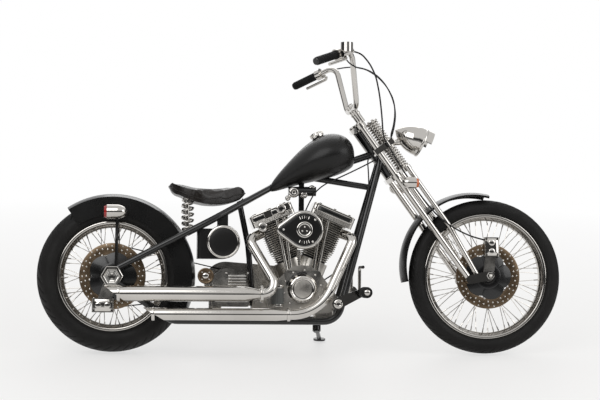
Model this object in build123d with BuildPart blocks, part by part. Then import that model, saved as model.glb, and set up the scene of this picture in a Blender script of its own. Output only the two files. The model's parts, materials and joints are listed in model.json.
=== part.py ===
from build123d import *
from math import atan, cos, degrees, pi, radians, sin, sqrt, tan
import os

# Rigid-frame bobber with a V-twin engine, leaning on its side stand.
# Everything is modelled upright and straight ahead, in millimetres: the rear axle is at X = 0,
# +X is forward, +Y is the rider's left, +Z is up and the ground is at Z = 0.
# The last section turns the steering, leans the whole machine and sets its origin.

# Stance
LEAN = 9.0            # degrees to the left, onto the side stand
STEER_REST = 3.0      # degrees to the left, as the front wheel lies when parked

# Driving dimensions
WHEELBASE = 1674.0
GROUND_CLEARANCE = 128.0
FIT = 0.3             # gap between pieces that are seated on each other
CUT = 400.0           # overrun of every cut

# Rear wheel, 18 inch
REAR_R = 336.0
REAR_CROWN_R = 104.0
REAR_CROWN_ANGLE = 46.0
REAR_TYRE_DEPTH = 93.5
REAR_RIM_R = REAR_R - REAR_TYRE_DEPTH
REAR_RIM_HALF = 66.0
REAR_HUB_R = 36.0
REAR_FLANGE_R = 54.0
REAR_FLANGE_Y = 48.0
REAR_HUB_HALF = 80.0

# Front wheel, 21 inch
FRONT_R = 347.5
FRONT_CROWN_R = 50.0
FRONT_CROWN_ANGLE = 52.0
FRONT_TYRE_DEPTH = 67.0
FRONT_RIM_R = FRONT_R - FRONT_TYRE_DEPTH
FRONT_RIM_HALF = 27.0
FRONT_HUB_R = 26.0
FRONT_FLANGE_R = 40.0
FRONT_FLANGE_Y = 34.0
FRONT_HUB_HALF = 62.0

# What both wheels share
BEAD_DEPTH = 7.0      # rim edge above the bead seat
LIP = 5.0
RIM_DEPTH = 28.0
RIM_FLOOR_SHARE = 0.55
SPOKES = 40
SPOKE_R = 2.0
SPOKE_SWEEP = 62.0    # degrees from a spoke's foot to its head
FLANGE_T = 7.0
AXLE_R = 10.0
BORE_GAP = 0.5
SPACER_R = 16.0
NUT_R = 17.0
NUT_T = 14.0

# Brakes and final drive
DISC_R = 146.0
DISC_INNER_R = 98.0
DISC_T = 5.0
CARRIER_T = 8.0
CARRIER_R = 106.0
FRONT_DISC_Y = 68.0
REAR_DISC_Y = 86.0
PULLEY_R = 138.0
PULLEY_RIM = 12.0
SMALL_PULLEY_R = 52.0
BELT_W = 22.0
BELT_T = 5.0
BELT_Y = 114.0
BELT_SIDE = 2.0       # pulley wider than the belt on each side
PAD_GAP = 5.0
FRONT_CALIPER = (16.0, 130.5, 68.0, 88.0)     # forward of and above the axle, width, height
REAR_CALIPER = (-40.0, -128.0, 96.0, 62.0)

# Steering
RAKE = 36.0
NECK_TO_AXLE = 502.0
NECK_X = WHEELBASE - NECK_TO_AXLE
NECK_Z = 900.0
NECK_R = 27.0
NECK_HALF = 122.0
STEM_R = 14.0
NECK_BORE_R = 15.0

# Frame tubes
TUBE_R = 16.0
STAY_R = 14.0
POST_R = 13.0
RAIL_Y = 122.0
HEEL_Y = 132.0
STAY_Y = 154.0
BEND_R = 80.0
STAY_BEND_R = 300.0
RAIL_Z = GROUND_CLEARANCE + TUBE_R
PLATE_T = 10.0
PLATE_R = 34.0
BACKBONE_REAR = (700.0, 0.0, 738.0)
BRACE_REAR = (850.0, 0.0, 790.0)
BRACE_FRONT = (NECK_X - 14.0, 0.0, NECK_Z - 156.0)
BRACE_HALF = 38.0
CRADLE_TOP = (NECK_X + 22.0, 22.0, NECK_Z - 26.0)
CRADLE_TOE_X = 992.0
CRADLE_HEEL_X = 262.0
DROPOUT_X = 24.0
DROPOUT_LOW_Z = 304.0
DROPOUT_HIGH_Z = 374.0
STAY_MID = (430.0, 124.0, 586.0)
POST_KNEE = (600.0, 0.0, 480.0)
POST_FOOT_X = 632.0
NOSE_TUBE_X = 562.0
SADDLE_TUBE_X = 325.0
SADDLE_TUBE_R = 12.0
FOOT_TUBES_X = (440.0, 940.0)

# Springer fork
LEG_Y = 92.0
REAR_LEG_R = 15.0
FRONT_LEG_R = 12.0
FRONT_LEG_U = 66.0
FRONT_LEG_KNEE_W = -454.0
CROWN_T = 20.0
CROWN_GAP = 6.0
CROWN_R = 24.0
CROWN_CENTRE_R = 34.0
PERCH_W = -10.0
PERCH_T = 26.0
YOKE_W = -146.0
YOKE_T = 20.0
SPRING_R = 21.0
SPRING_CORE_R = 13.0
SPRING_Y = 50.0
SPRING_TOP_W = 128.0
SPRING_PITCH = 11.0
ROD_R = 6.0
EYE_R = 20.0
EYE_HALF = 17.0
ROCKER_T = 12.0
ROCKER_PIVOT = (WHEELBASE - 89.0, FRONT_R - 17.5)
ROCKER_MID = (WHEELBASE - 52.0, FRONT_R - 2.5)

# Fenders
FENDER_T = 2.5
REAR_FENDER_GAP = 30.0
REAR_FENDER_R = REAR_R + REAR_FENDER_GAP
REAR_FENDER_HALF = 98.0
REAR_FENDER_CROWN = 16.0
REAR_FENDER_SIDE = 80.0
REAR_FENDER_START = -25.0
REAR_FENDER_END = 124.0
FRONT_FENDER_R = FRONT_R - 14.5
FRONT_FENDER_HALF = 60.0
FRONT_FENDER_CROWN = 13.0
FRONT_FENDER_SIDE = 9.0
FRONT_FENDER_X = WHEELBASE - 57.0
FRONT_FENDER_Z = FRONT_R + 47.5
FRONT_FENDER_START = 77.5
FRONT_FENDER_END = 193.6
FENDER_BOSS_W = -351.0
FENDER_BOSS_R = 9.0
STRUT_R = 7.0

# Lamps
HEADLIGHT_R = 66.0
HEADLIGHT_DEPTH = 126.0
HEADLIGHT_X = NECK_X + 207.0
HEADLIGHT_Z = NECK_Z + 55.0
HEADLIGHT_DIP = 24.5
HEADLIGHT_WALL = 3.0
VISOR_REACH = 42.0
LENS_T = 8.0
BULLET_R = 32.0
BULLET_LENGTH = 88.0
REAR_BULLET_X = 18.0
REAR_BULLET_Z = REAR_R + 282.0
FRONT_BULLET_R = 26.0
FRONT_BULLET_LENGTH = 62.0
FRONT_BULLET_Y = 158.0
FRONT_BULLET_U = 16.0
FRONT_BULLET_W = -190.0
BULLET_LENS = 12.0
NOSE_SHARE = 0.55     # fullness of a lamp's rounded back

# Engine
CRANK_X = 838.0
CRANK_Z = 285.0
CASE_R = 106.0
CASE_HALF = 92.0
VEE_HALF = 22.5
DECK_R = 70.0
DECK_TOP = 142.0
BARREL_R = 58.0
BARREL_TOP = 282.0
HEAD_TOP = 328.0
ROCKER_TOP = 380.0
FIN_T = 4.5
FIN_PITCH = 15.0
FIN_X = 144.0
FIN_Y = 144.0
FIN_CORNER = 28.0
HEAD_X = 150.0
HEAD_Y = 150.0
ROCKER_X = 196.0
ROCKER_Y = 188.0
ROCKER_CORNER = 14.0
VEE_GAP = 2.0
PUSHROD_R = 8.0
PUSHROD_Y = 84.0
PUSHRODS = ((46.0, 44.0), (64.0, 12.0))   # foot from the crank's plane, head from its cylinder's axis
PUSHROD_FOOT_Z = 350.0
MANIFOLD_R = 20.0
CARB_R = 30.0
MANIFOLD_Z = 590.0
CARB_Y = 165.0
CLEANER_X = 837.0
CLEANER_Z = 545.0
CLEANER_R = 85.0
CLEANER_T = 44.0
CLEANER_TIP_X = 745.0
CLEANER_TIP_R = 30.0
NOSE_R = 66.0
NOSE_T = 34.0
GEARCASE_T = 16.0
FILTER_X = 728.0
FILTER_Z = 208.0
FILTER_R = 25.0
FILTER_H = 92.0
MOUNT_HALF = 12.0
MOUNT_T = 8.0
COIL_R = 21.0
COIL_Y = 40.0
COIL_Z = 722.0
COIL_HALF = 62.0

# Gearbox, primary drive and oil
GEARBOX_X = 505.0
GEARBOX_Z = 310.0
GEARBOX_R = 64.0
GEARBOX_HALF = 92.0
GEARBOX_FRONT = 600.0
GEARBOX_REAR = 430.0
GEARBOX_TOP = 300.0
GEARBOX_FLOOR = 205.0
PRIMARY_Y = 134.0
PRIMARY_T = 52.0
PRIMARY_R = 96.0
STARTER_X = 408.0
STARTER_Z = 340.0
STARTER_R = 34.0
OIL_X = 485.0
OIL_Z = 490.0
OIL_R = 73.5
OIL_HALF = 128.0
BATTERY_REAR = 372.0

# Exhaust
PIPE_R = 22.0
PIPE_Y = 200.0
UPPER_Z = 262.0
UPPER_R = 34.0
UPPER_TAIL = -34.0
UPPER_FRONT = 640.0
LOWER_Z = 174.0
LOWER_R = 27.0
LOWER_TAIL = 136.0
LOWER_FRONT = 800.0
REAR_PORT = ((672.0, -40.0, 538.0), (598.0, -116.0, 502.0))       # where each pipe leaves its head
FRONT_PORT = ((1004.0, -40.0, 538.0), (1064.0, -116.0, 512.0))
UPPER_BEND = (738.0, (38.0, 50.0))    # x where a pipe turns level, and the radii of its two bends
LOWER_BEND = (905.0, (34.0, 190.0))
TAIL_SLANT = 92.0
TAIL_DEPTH = 120.0
TAIL_WALL = 3.0
PIPE_TAPER = 60.0

# Tank and saddle
TANK_STATIONS = (     # x, centre height, half height, half width
    (692.0, 727.0, 10.0, 14.0),
    (770.0, 790.0, 54.0, 66.0),
    (870.0, 853.0, 90.0, 116.0),
    (965.0, 886.0, 99.0, 138.0),
    (1035.0, 892.0, 78.0, 116.0),
    (1070.0, 880.0, 38.0, 62.0),
)
TUNNEL_GAP = 1.0
CAP_X = 910.0
CAP_Z = 970.0
CAP_R = 31.0
CAP_H = 20.0
CAP_TILT = -24.0
SEAT_TOP = ((256.0, 757.0), (400.0, 718.0), (540.0, 741.0))       # x and height along the saddle's top
SEAT_NOSE = (582.0, 728.0)
SEAT_FRONT = (589.0, 706.0)
SEAT_UNDER = ((566.0, 681.0), (427.0, 652.0), (290.0, 692.0))     # x and height along its underside
SEAT_BACK = ((246.0, 720.0), (240.0, 742.0))
SEAT_REAR = 238.0
SEAT_HALF = 138.0
SADDLE_SPRING_X = 328.0
SADDLE_SPRING_Y = 80.0
SADDLE_SPRING_R = 27.0
SADDLE_SPRING_TOP = 700.0
SADDLE_SPRING_TURNS = 7

# Handlebar
BAR_R = 12.5
BAR_CLAMP = (30.0, 222.0)
RISER_Y = 30.0
RISER_R = 14.0
BAR_BASE_Y = 130.0
BAR_TOP = (NECK_X - 147.0, 240.0, NECK_Z + 431.0)
BAR_END = (NECK_X - 320.0, 378.0, NECK_Z + 354.0)
BAR_BEND_R = 55.0
GRIP_R = 17.0
GRIP_LENGTH = 125.0
MASTER_R = 14.0
MASTER_GAP = 34.0
MASTER_LENGTH = 72.0
RESERVOIR_R = 27.0
RESERVOIR_H = 42.0

# Hoses and cables, as points upright and straight ahead
HOSE_R = 3.5
CABLE_R = 3.0
ARC_SHARE = 0.45      # of the shorter run, taken by each arc's tangent
BRAKE_HOSE_TOP = (
    (1018.0, -284.0, 1318.0), (1062.0, -281.0, 1307.0), (1102.0, -264.0, 1268.0), (1133.0, -244.0, 1215.0),
    (1155.0, -212.0, 1140.0), (1172.0, -172.0, 1056.0),
)
BRAKE_HOSE_LEG = (    # ahead of the steering axis, to the left, and along the axis
    (44.0, -136.0, 38.0), (42.0, -127.0, -30.0), (36.0, -118.0, -110.0), (34.0, -113.0, -205.0),
    (36.0, -111.0, -300.0), (45.0, -113.0, -390.0), (70.0, -117.0, -470.0), (112.0, -110.0, -545.0),
    (165.0, -74.0, -603.0),
)
BAR_CABLES = (
    ((973.0, 299.0, 1304.0), (1020.0, 287.0, 1322.0), (1075.0, 262.0, 1331.0), (1128.0, 228.0, 1328.0),
     (1172.0, 196.0, 1311.0), (1211.0, 165.0, 1280.0), (1243.0, 130.0, 1234.0), (1266.0, 100.0, 1176.0),
     (1276.0, 78.0, 1125.0), (1277.0, 62.0, 1080.0), (1269.0, 50.0, 1030.0), (1257.0, 46.0, 985.0),
     (1238.0, 45.0, 953.0)),
    ((979.0, -307.0, 1297.0), (1004.0, -278.0, 1268.0), (1045.0, -240.0, 1252.0), (1095.0, -200.0, 1252.0),
     (1153.0, -160.0, 1228.0), (1202.0, -125.0, 1189.0), (1235.0, -95.0, 1143.0), (1248.0, -76.0, 1104.0),
     (1251.0, -61.0, 1065.0), (1246.0, -52.0, 1020.0), (1235.0, -48.0, 982.0), (1238.0, -45.0, 953.0)),
)
FRAME_CABLES = (
    ((1152.0, -16.0, 908.0), (1132.0, -42.0, 868.0), (1136.0, -54.0, 800.0), (1137.0, -59.0, 728.0),
     (1117.0, -68.0, 655.0), (1098.0, -78.0, 585.0), (1079.0, -88.0, 518.0), (1056.0, -96.0, 452.0),
     (1026.0, -92.0, 398.0), (985.0, -80.0, 358.0), (922.0, -70.0, 316.0)),
    ((1168.0, -18.0, 868.0), (1108.0, -36.0, 836.0), (1048.0, -41.0, 806.0), (988.0, -48.0, 778.0),
     (934.0, -62.0, 752.0), (892.0, -78.0, 716.0), (864.0, -80.0, 664.0), (846.0, -76.0, 620.0),
     (838.0, -70.0, 596.0)),
)

# Controls and stand
PEG_X = 1098.0
PEG_Z = 273.0
PEG_Y = 340.0
PEG_R = 12.0
PEG_RUBBER_R = 22.0
PEG_RUBBER = 112.0
CONTROL_X = 985.0
CONTROL_Z = 222.0
CONTROL_R = 26.0
CONTROL_IN = 150.0
CONTROL_OUT = 226.0
CONTROL_ARM_T = 14.0
PEDAL_Z = 384.0
PEDAL_R = 7.0
STAND_X = 925.0
STAND_Y = 140.0
STAND_Z = 104.0
STAND_PIN_R = 8.0
STAND_EYE_R = 19.0
STAND_EYE_T = 22.0
STAND_LEG_R = 10.0
STAND_FOOT_X = 952.0
STAND_FOOT_Y = 290.0
STAND_FOOT_R = 28.0
STAND_FOOT_T = 8.0
STAND_AXIS = (0.037, 0.372, 0.928)
PIN_GAP = 0.3

rake = radians(RAKE)
FORK = Plane(origin=(NECK_X, 0, NECK_Z), x_dir=(cos(rake), 0, sin(rake)), z_dir=(-sin(rake), 0, cos(rake)))
STEER_AXIS = Axis((NECK_X, 0, NECK_Z), (-sin(rake), 0, cos(rake)))
pieces = {}


def on_fork(u, y, w):
    """Point u ahead of the steering axis, y to the left and w up along the axis."""
    return FORK.from_local_coords(Vector(u, y, w))


def fork_place(x, z):
    """A side-view point as u and w on the steering."""
    local = FORK.to_local_coords(Vector(x, 0, z))
    return local.X, local.Z


def keep(name, part, body):
    """File a finished piece under its node name and the body that carries it."""
    part.label = name
    pieces[name] = (part, body)


def side_plane(y):
    """Plane that faces right, at the given distance to the left of the middle."""
    return Plane.XZ.offset(-y)


def bar(points, radius, bend=BEND_R):
    """Round bar along straight runs joined by arcs, as a solid of its own."""
    with BuildPart() as tube:
        with BuildLine() as path:
            if len(points) > 2:
                FilletPolyline(*points, radius=bend)
            else:
                Line(*points)
        with BuildSketch(Plane(origin=path.line @ 0, z_dir=path.line % 0)):
            Circle(radius)
        sweep(path=path.line)
    return tube.part


def both(points):
    """The same points on the other side of the machine."""
    return [(x, -y, z) for x, y, z in points]


def main_body(part):
    """The largest solid of a part, where cutting it at its neighbours left scraps."""
    return Compound([part.solids().sort_by(SortBy.VOLUME)[-1]])


def web(plane, circles, thickness):
    """Plate that wraps circles given as (x, y, radius) on a plane."""
    with BuildPart() as plate:
        with BuildSketch(plane):
            for x, y, radius in circles:
                with Locations((x, y)):
                    Circle(radius)
            if len(circles) > 1:
                make_hull()
        extrude(amount=thickness)
    return plate.part


def turned(profile_points):
    """Solid of revolution about the Y axis through the origin, from (radius, y) points."""
    with BuildPart() as ring:
        with BuildSketch(Plane.XY):
            with BuildLine():
                Polyline(*profile_points, close=True)
            make_face()
        revolve(axis=Axis.Y)
    return ring.part


def lathe(plane, profile_points):
    """Solid of revolution about a plane's normal, from (radius, height) points."""
    with BuildPart() as ring:
        with BuildSketch(Plane(origin=plane.origin, x_dir=plane.x_dir, z_dir=-plane.y_dir)):
            with BuildLine():
                Polyline(*profile_points, close=True)
            make_face()
        revolve(axis=Axis(plane.origin, plane.z_dir))
    return ring.part


def tyre(radius, crown_r, crown_angle, rim_r, rim_half):
    """Closed tyre: a crown arc, and a sidewall arc down to each rim lip."""
    x = radius - crown_r + crown_r * cos(radians(crown_angle))
    y = crown_r * sin(radians(crown_angle))
    with BuildPart() as tread:
        with BuildSketch(Plane.XY):
            with BuildLine():
                crown = ThreePointArc((x, -y), (radius, 0), (x, y))
                left = TangentArc(crown @ 1, (rim_r, rim_half), tangent=crown % 1)
                right = TangentArc(crown @ 0, (rim_r, -rim_half), tangent=(crown % 0) * -1)
                Polyline(left @ 1, (rim_r - BEAD_DEPTH, rim_half), (rim_r - BEAD_DEPTH, -rim_half), right @ 1)
            make_face()
        revolve(axis=Axis.Y)
    return tread.part


def wire_wheel(rim_r, rim_half, hub_r, flange_r, flange_y, hub_half):
    """Rim, hub and crossed spokes in one piece, with a bore for the axle."""
    seat_r = rim_r - BEAD_DEPTH
    floor_r = rim_r - RIM_DEPTH
    edge = rim_half + LIP
    floor_half = rim_half * RIM_FLOOR_SHARE
    with BuildPart() as wheel:
        add(turned([
            (seat_r, -rim_half), (rim_r, -rim_half), (rim_r, -edge), (seat_r - LIP, -edge),
            (floor_r, -floor_half), (floor_r, floor_half), (seat_r - LIP, edge), (rim_r, edge),
            (rim_r, rim_half), (seat_r, rim_half),
        ]))
        spokes = []
        for index in range(SPOKES):
            side = 1 if index % 2 else -1
            turn = SPOKE_SWEEP if index % 4 < 2 else -SPOKE_SWEEP
            head = radians(index * 360 / SPOKES)
            foot = head + radians(turn)
            foot_r = flange_r - FLANGE_T
            head_r = floor_r + LIP
            start = Vector(foot_r * cos(foot), side * (flange_y + FLANGE_T / 2), foot_r * sin(foot))
            end = Vector(head_r * cos(head), side * floor_half / 3, head_r * sin(head))
            spokes.append(bar([start, end], SPOKE_R))
        add(spokes)
        add(turned([
            (AXLE_R + BORE_GAP, -hub_half), (hub_r, -hub_half), (hub_r, -flange_y - FLANGE_T),
            (flange_r, -flange_y - FLANGE_T), (flange_r, -flange_y), (hub_r, -flange_y + FLANGE_T),
            (hub_r, flange_y - FLANGE_T), (flange_r, flange_y), (flange_r, flange_y + FLANGE_T),
            (hub_r, flange_y + FLANGE_T), (hub_r, hub_half), (AXLE_R + BORE_GAP, hub_half),
        ]))
    return wheel.part


def brake_disc(y, hub_r):
    """Disc and carrier on the right end of a hub, y being the disc's middle plane."""
    inside = y + DISC_T / 2
    with BuildPart() as disc:
        add(turned([(DISC_INNER_R, inside - DISC_T), (DISC_R, inside - DISC_T), (DISC_R, inside),
                    (DISC_INNER_R, inside)]))
        add(turned([(hub_r, inside), (CARRIER_R, inside), (CARRIER_R, inside + CARRIER_T),
                    (hub_r, inside + CARRIER_T)]))
    return disc.part


# Wheels
rear_centre = Location((0, 0, REAR_R))
front_centre = Location((WHEELBASE, 0, FRONT_R))
rear_tyre = tyre(REAR_R, REAR_CROWN_R, REAR_CROWN_ANGLE, REAR_RIM_R, REAR_RIM_HALF)
front_tyre = tyre(FRONT_R, FRONT_CROWN_R, FRONT_CROWN_ANGLE, FRONT_RIM_R, FRONT_RIM_HALF)
rear_rim = wire_wheel(REAR_RIM_R, REAR_RIM_HALF, REAR_HUB_R, REAR_FLANGE_R, REAR_FLANGE_Y, REAR_HUB_HALF)
front_rim = wire_wheel(FRONT_RIM_R, FRONT_RIM_HALF, FRONT_HUB_R, FRONT_FLANGE_R, FRONT_FLANGE_Y,
                       FRONT_HUB_HALF)
keep("rear_tyre", rear_tyre.moved(rear_centre), "rear_wheel")
keep("front_tyre", front_tyre.moved(front_centre), "front_wheel")
keep("rear_wheel_rim", rear_rim.moved(rear_centre), "rear_wheel")
keep("front_wheel_rim", front_rim.moved(front_centre), "front_wheel")
keep("rear_disc", brake_disc(-REAR_DISC_Y, REAR_HUB_R).moved(rear_centre), "rear_wheel")
keep("front_disc", brake_disc(-FRONT_DISC_Y, FRONT_HUB_R).moved(front_centre), "front_wheel")

belt_low = BELT_Y - BELT_W / 2
belt_high = BELT_Y + BELT_W / 2
pulley_low = belt_low - BELT_SIDE
pulley_high = belt_high + BELT_SIDE
with BuildPart() as rear_pulley:
    add(turned([
        (REAR_HUB_R, REAR_HUB_HALF - CARRIER_T), (REAR_FLANGE_R, REAR_HUB_HALF - CARRIER_T),
        (PULLEY_R - PULLEY_RIM, pulley_low), (PULLEY_R, pulley_low), (PULLEY_R, pulley_high),
        (PULLEY_R - PULLEY_RIM, pulley_high), (PULLEY_R - PULLEY_RIM, BELT_Y), (REAR_HUB_R, REAR_HUB_HALF),
    ]))
keep("rear_pulley", rear_pulley.part.moved(rear_centre), "rear_wheel")

with BuildPart() as drive_belt:
    add(web(side_plane(belt_high), [(0, REAR_R, PULLEY_R + FIT + BELT_T),
                                    (GEARBOX_X, GEARBOX_Z, SMALL_PULLEY_R + FIT + BELT_T)], BELT_W))
    add(web(side_plane(belt_high), [
        (0, REAR_R, PULLEY_R + FIT), (GEARBOX_X, GEARBOX_Z, SMALL_PULLEY_R + FIT)], BELT_W),
        mode=Mode.SUBTRACT)
keep("drive_belt", drive_belt.part, "chassis")

plate_in = STAY_Y - PLATE_T / 2
plate_out = STAY_Y + PLATE_T / 2
with BuildPart() as rear_axle:
    for side in (-1, 1):
        add(turned([
            (0, 0), (AXLE_R, 0), (AXLE_R, side * (REAR_HUB_HALF + FIT)),
            (SPACER_R, side * (REAR_HUB_HALF + FIT)),
            (SPACER_R, side * plate_in), (AXLE_R, side * plate_in), (AXLE_R, side * plate_out),
            (NUT_R, side * plate_out), (NUT_R, side * (plate_out + NUT_T)), (0, side * (plate_out + NUT_T)),
        ]))
keep("rear_axle", rear_axle.part.moved(rear_centre), "chassis")

# Frame
neck = web(FORK.offset(-NECK_HALF), [(0, 0, NECK_R)], NECK_HALF * 2)
neck_bore = web(FORK.offset(-NECK_HALF), [(0, 0, NECK_BORE_R)], NECK_HALF * 2)
with BuildPart() as backbone:
    add(neck)
    add(bar([(NECK_X, 0, NECK_Z), BACKBONE_REAR], TUBE_R))
    add(bar([BRACE_REAR, BRACE_FRONT], STAY_R))
    brace_x, brace_y, brace_z = BRACE_FRONT
    add(bar([(brace_x, brace_y - BRACE_HALF, brace_z), (brace_x, brace_y + BRACE_HALF, brace_z)], STAY_R))
    add(neck_bore, mode=Mode.SUBTRACT)
keep("frame_backbone", backbone.part, "chassis")

stand_axis = Vector(*STAND_AXIS).normalized()
pivot = Vector(STAND_X, STAND_Y, STAND_Z)
eye_plane = Plane(origin=pivot, x_dir=(1, 0, -STAND_AXIS[0] / STAND_AXIS[2]), z_dir=stand_axis)
pin_reach = STAND_EYE_T / 2 + PIN_GAP + LIP
cradle_path = [
    CRADLE_TOP, (CRADLE_TOE_X, RAIL_Y, RAIL_Z), (CRADLE_HEEL_X, HEEL_Y, RAIL_Z),
    (DROPOUT_X, STAY_Y, DROPOUT_LOW_Z),
]
stay_path = [BACKBONE_REAR, STAY_MID, (DROPOUT_X, STAY_Y, DROPOUT_HIGH_Z)]


def axle_plate(y):
    """Drop-out plate that joins a stay and a lower rail at the rear axle."""
    with BuildPart() as plate:
        add(web(side_plane(y + PLATE_T / 2), [
            (0, REAR_R, PLATE_R), (DROPOUT_X, DROPOUT_HIGH_Z, STAY_R), (DROPOUT_X, DROPOUT_LOW_Z, TUBE_R),
        ], PLATE_T))
        add(web(side_plane(y + PLATE_T / 2), [(0, REAR_R, AXLE_R)], PLATE_T), mode=Mode.SUBTRACT)
    return plate.part


for side, word in ((1, "left"), (-1, "right")):
    with BuildPart() as cradle:
        add(bar(cradle_path if side > 0 else both(cradle_path), TUBE_R))
        add(backbone.part, mode=Mode.SUBTRACT)
        add(neck_bore, mode=Mode.SUBTRACT)
        split(bisect_by=Plane.XZ, keep=Keep.BOTTOM if side > 0 else Keep.TOP)
        if side > 0:
            add(web(eye_plane.offset(-pin_reach), [(0, 0, STAND_PIN_R)], pin_reach * 2))
            add(web(eye_plane.offset(-pin_reach), [(0, 0, STAND_EYE_R - LIP)], LIP))
            add(web(eye_plane.offset(pin_reach - LIP), [
                (0, 0, STAND_EYE_R), (0, -STAND_EYE_R * 3 / 2, STAND_EYE_R * 3 / 4)], LIP * 2))
    with BuildPart() as stay:
        add(bar(stay_path if side > 0 else both(stay_path), STAY_R, STAY_BEND_R))
        add(axle_plate(side * STAY_Y))
        add(backbone.part, mode=Mode.SUBTRACT)
        add(cradle.part, mode=Mode.SUBTRACT)
        split(bisect_by=Plane.XZ, keep=Keep.BOTTOM if side > 0 else Keep.TOP)
    keep("frame_cradle_" + word, cradle.part, "chassis")
    keep("frame_stay_" + word, stay.part, "chassis")
frame_sides = [pieces[name][0] for name in pieces if name.startswith(("frame_cradle", "frame_stay"))]


def stay_height(x):
    """Height of the stays' middle line at a place between the saddle and the axle."""
    share = (x - DROPOUT_X) / (STAY_MID[0] - DROPOUT_X)
    return DROPOUT_HIGH_Z + share * (STAY_MID[2] - DROPOUT_HIGH_Z)


saddle_tube_z = REAR_R + sqrt((REAR_FENDER_R + SADDLE_TUBE_R + FIT) ** 2 - SADDLE_TUBE_X ** 2)
nose_share = (NOSE_TUBE_X - STAY_MID[0]) / (BACKBONE_REAR[0] - STAY_MID[0])
nose_tube_z = STAY_MID[2] + nose_share * (BACKBONE_REAR[2] - STAY_MID[2])
nose_tube_y = STAY_MID[1] * (1 - nose_share)
with BuildPart() as crossmembers:
    add(bar([(NOSE_TUBE_X, -nose_tube_y, nose_tube_z), (NOSE_TUBE_X, nose_tube_y, nose_tube_z)], POST_R))
    add(bar([(NOSE_TUBE_X, 0, nose_tube_z), POST_KNEE, (POST_FOOT_X, 0, RAIL_Z)], POST_R))
    for x in (POST_FOOT_X, *FOOT_TUBES_X):
        add(bar([(x, -HEEL_Y, RAIL_Z), (x, HEEL_Y, RAIL_Z)], STAY_R))
    add(bar([(SADDLE_TUBE_X, -STAY_Y, saddle_tube_z), (SADDLE_TUBE_X, STAY_Y, saddle_tube_z)], SADDLE_TUBE_R))
    add(frame_sides, mode=Mode.SUBTRACT)
inner_tubes = [solid for solid in crossmembers.part.solids() if abs(solid.center().Y) < STAY_R]

# Rear fender and its struts


def fender(centre_x, centre_z, radius, half, crown, side, start, end):
    """Thin mudguard with a crowned top and straight sides, turned about an axis parallel to Y."""
    shoulder = radius - crown
    inner_half = half - FENDER_T
    with BuildPart() as guard:
        with BuildSketch(Plane.XY):
            with BuildLine():
                ThreePointArc((shoulder, -half), (radius, 0), (shoulder, half))
                Polyline((shoulder, half), (shoulder - side, half), (shoulder - side, inner_half),
                         (shoulder, inner_half))
                ThreePointArc((shoulder, inner_half), (radius - FENDER_T, 0), (shoulder, -inner_half))
                Polyline((shoulder, -inner_half), (shoulder - side, -inner_half), (shoulder - side, -half),
                         (shoulder, -half))
            make_face()
        revolve(axis=Axis((0, 0, 0), (0, -1, 0)), revolution_arc=end - start)
    return guard.part.moved(Location((centre_x, 0, centre_z), (0, -start, 0)))


rear_fender = fender(0, REAR_R, REAR_FENDER_R, REAR_FENDER_HALF, REAR_FENDER_CROWN, REAR_FENDER_SIDE,
                     REAR_FENDER_START, REAR_FENDER_END)
strut_y = REAR_FENDER_HALF + STRUT_R - FENDER_T / 2
strut_knee_z = REAR_R + PULLEY_R + BELT_T + STAY_R * 2
strut_path = [
    (REAR_BULLET_X, STAY_Y, DROPOUT_HIGH_Z), (REAR_BULLET_X, STAY_Y - LIP, strut_knee_z),
    (REAR_BULLET_X, strut_y, REAR_BULLET_Z - BULLET_R - STRUT_R),
    (REAR_BULLET_X, strut_y, REAR_BULLET_Z + STRUT_R),
]
rear_bullet_y = strut_y + STRUT_R + FIT + BULLET_R
with BuildPart() as struts:
    for side in (-1, 1):
        path = [(x, side * y, z) for x, y, z in strut_path]
        add(bar(path, STRUT_R, STAY_R * 2))
    add(frame_sides, mode=Mode.SUBTRACT)
strut_tops = [solid for solid in struts.part.solids() if solid.center().Z > DROPOUT_HIGH_Z + STAY_R]
with BuildPart() as rear_guard:
    add(rear_fender)
    add(strut_tops)
keep("rear_fender", rear_guard.part, "chassis")


def bullet_lamp(x, y, z, radius, length, forward):
    """Bullet lamp housing and its lens, pointing forward or back."""
    plane = Plane(origin=(x, y, z), x_dir=(0, 1, 0), z_dir=(forward, 0, 0))
    half = length / 2
    with BuildPart() as housing:
        with BuildSketch(Plane(origin=plane.origin, x_dir=plane.x_dir, z_dir=-plane.y_dir)):
            with BuildLine():
                Line((0, half), (radius, half))
                Line((radius, half), (radius, 0))
                Bezier((radius, 0), (radius, -half * NOSE_SHARE), (radius * NOSE_SHARE, -half), (0, -half))
                Line((0, -half), (0, half))
            make_face()
        revolve(axis=Axis(plane.origin, plane.z_dir))
    lens = lathe(plane, [(0, half), (radius - FENDER_T, half), (radius - FENDER_T * 3, half + BULLET_LENS),
                         (0, half + BULLET_LENS)])
    return housing.part, lens


rear_lamps = [bullet_lamp(REAR_BULLET_X, side * rear_bullet_y, REAR_BULLET_Z, BULLET_R, BULLET_LENGTH, -1)
              for side in (-1, 1)]
keep("rear_signals", Compound([housing.solid() for housing, lens in rear_lamps]), "chassis")
keep("rear_signal_lenses", Compound([lens.solid() for housing, lens in rear_lamps]), "chassis")

# Engine
vee = radians(VEE_HALF)


def bank(lean):
    """Plane at the crank with its normal along a cylinder; lean is -1 at the rear and 1 in front."""
    return Plane(origin=(CRANK_X, 0, CRANK_Z), x_dir=(cos(vee), 0, -lean * sin(vee)),
                 z_dir=(lean * sin(vee), 0, cos(vee)))


def block(plane, size_x, size_y, corner, height):
    """Rounded block standing on a plane."""
    with BuildPart() as box:
        with BuildSketch(plane):
            RectangleRounded(size_x, size_y, corner)
        extrude(amount=height)
    return box.part


def half_space(lean):
    """Everything on the far side of the vee's middle plane, with half the gap."""
    with BuildPart() as box:
        with BuildSketch(Plane.YZ.offset(CRANK_X + lean * VEE_GAP / 2)):
            with Locations((0, CRANK_Z + CUT)):
                Rectangle(CUT * 2, CUT * 2)
        extrude(amount=-lean * CUT)
    return box.part


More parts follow.
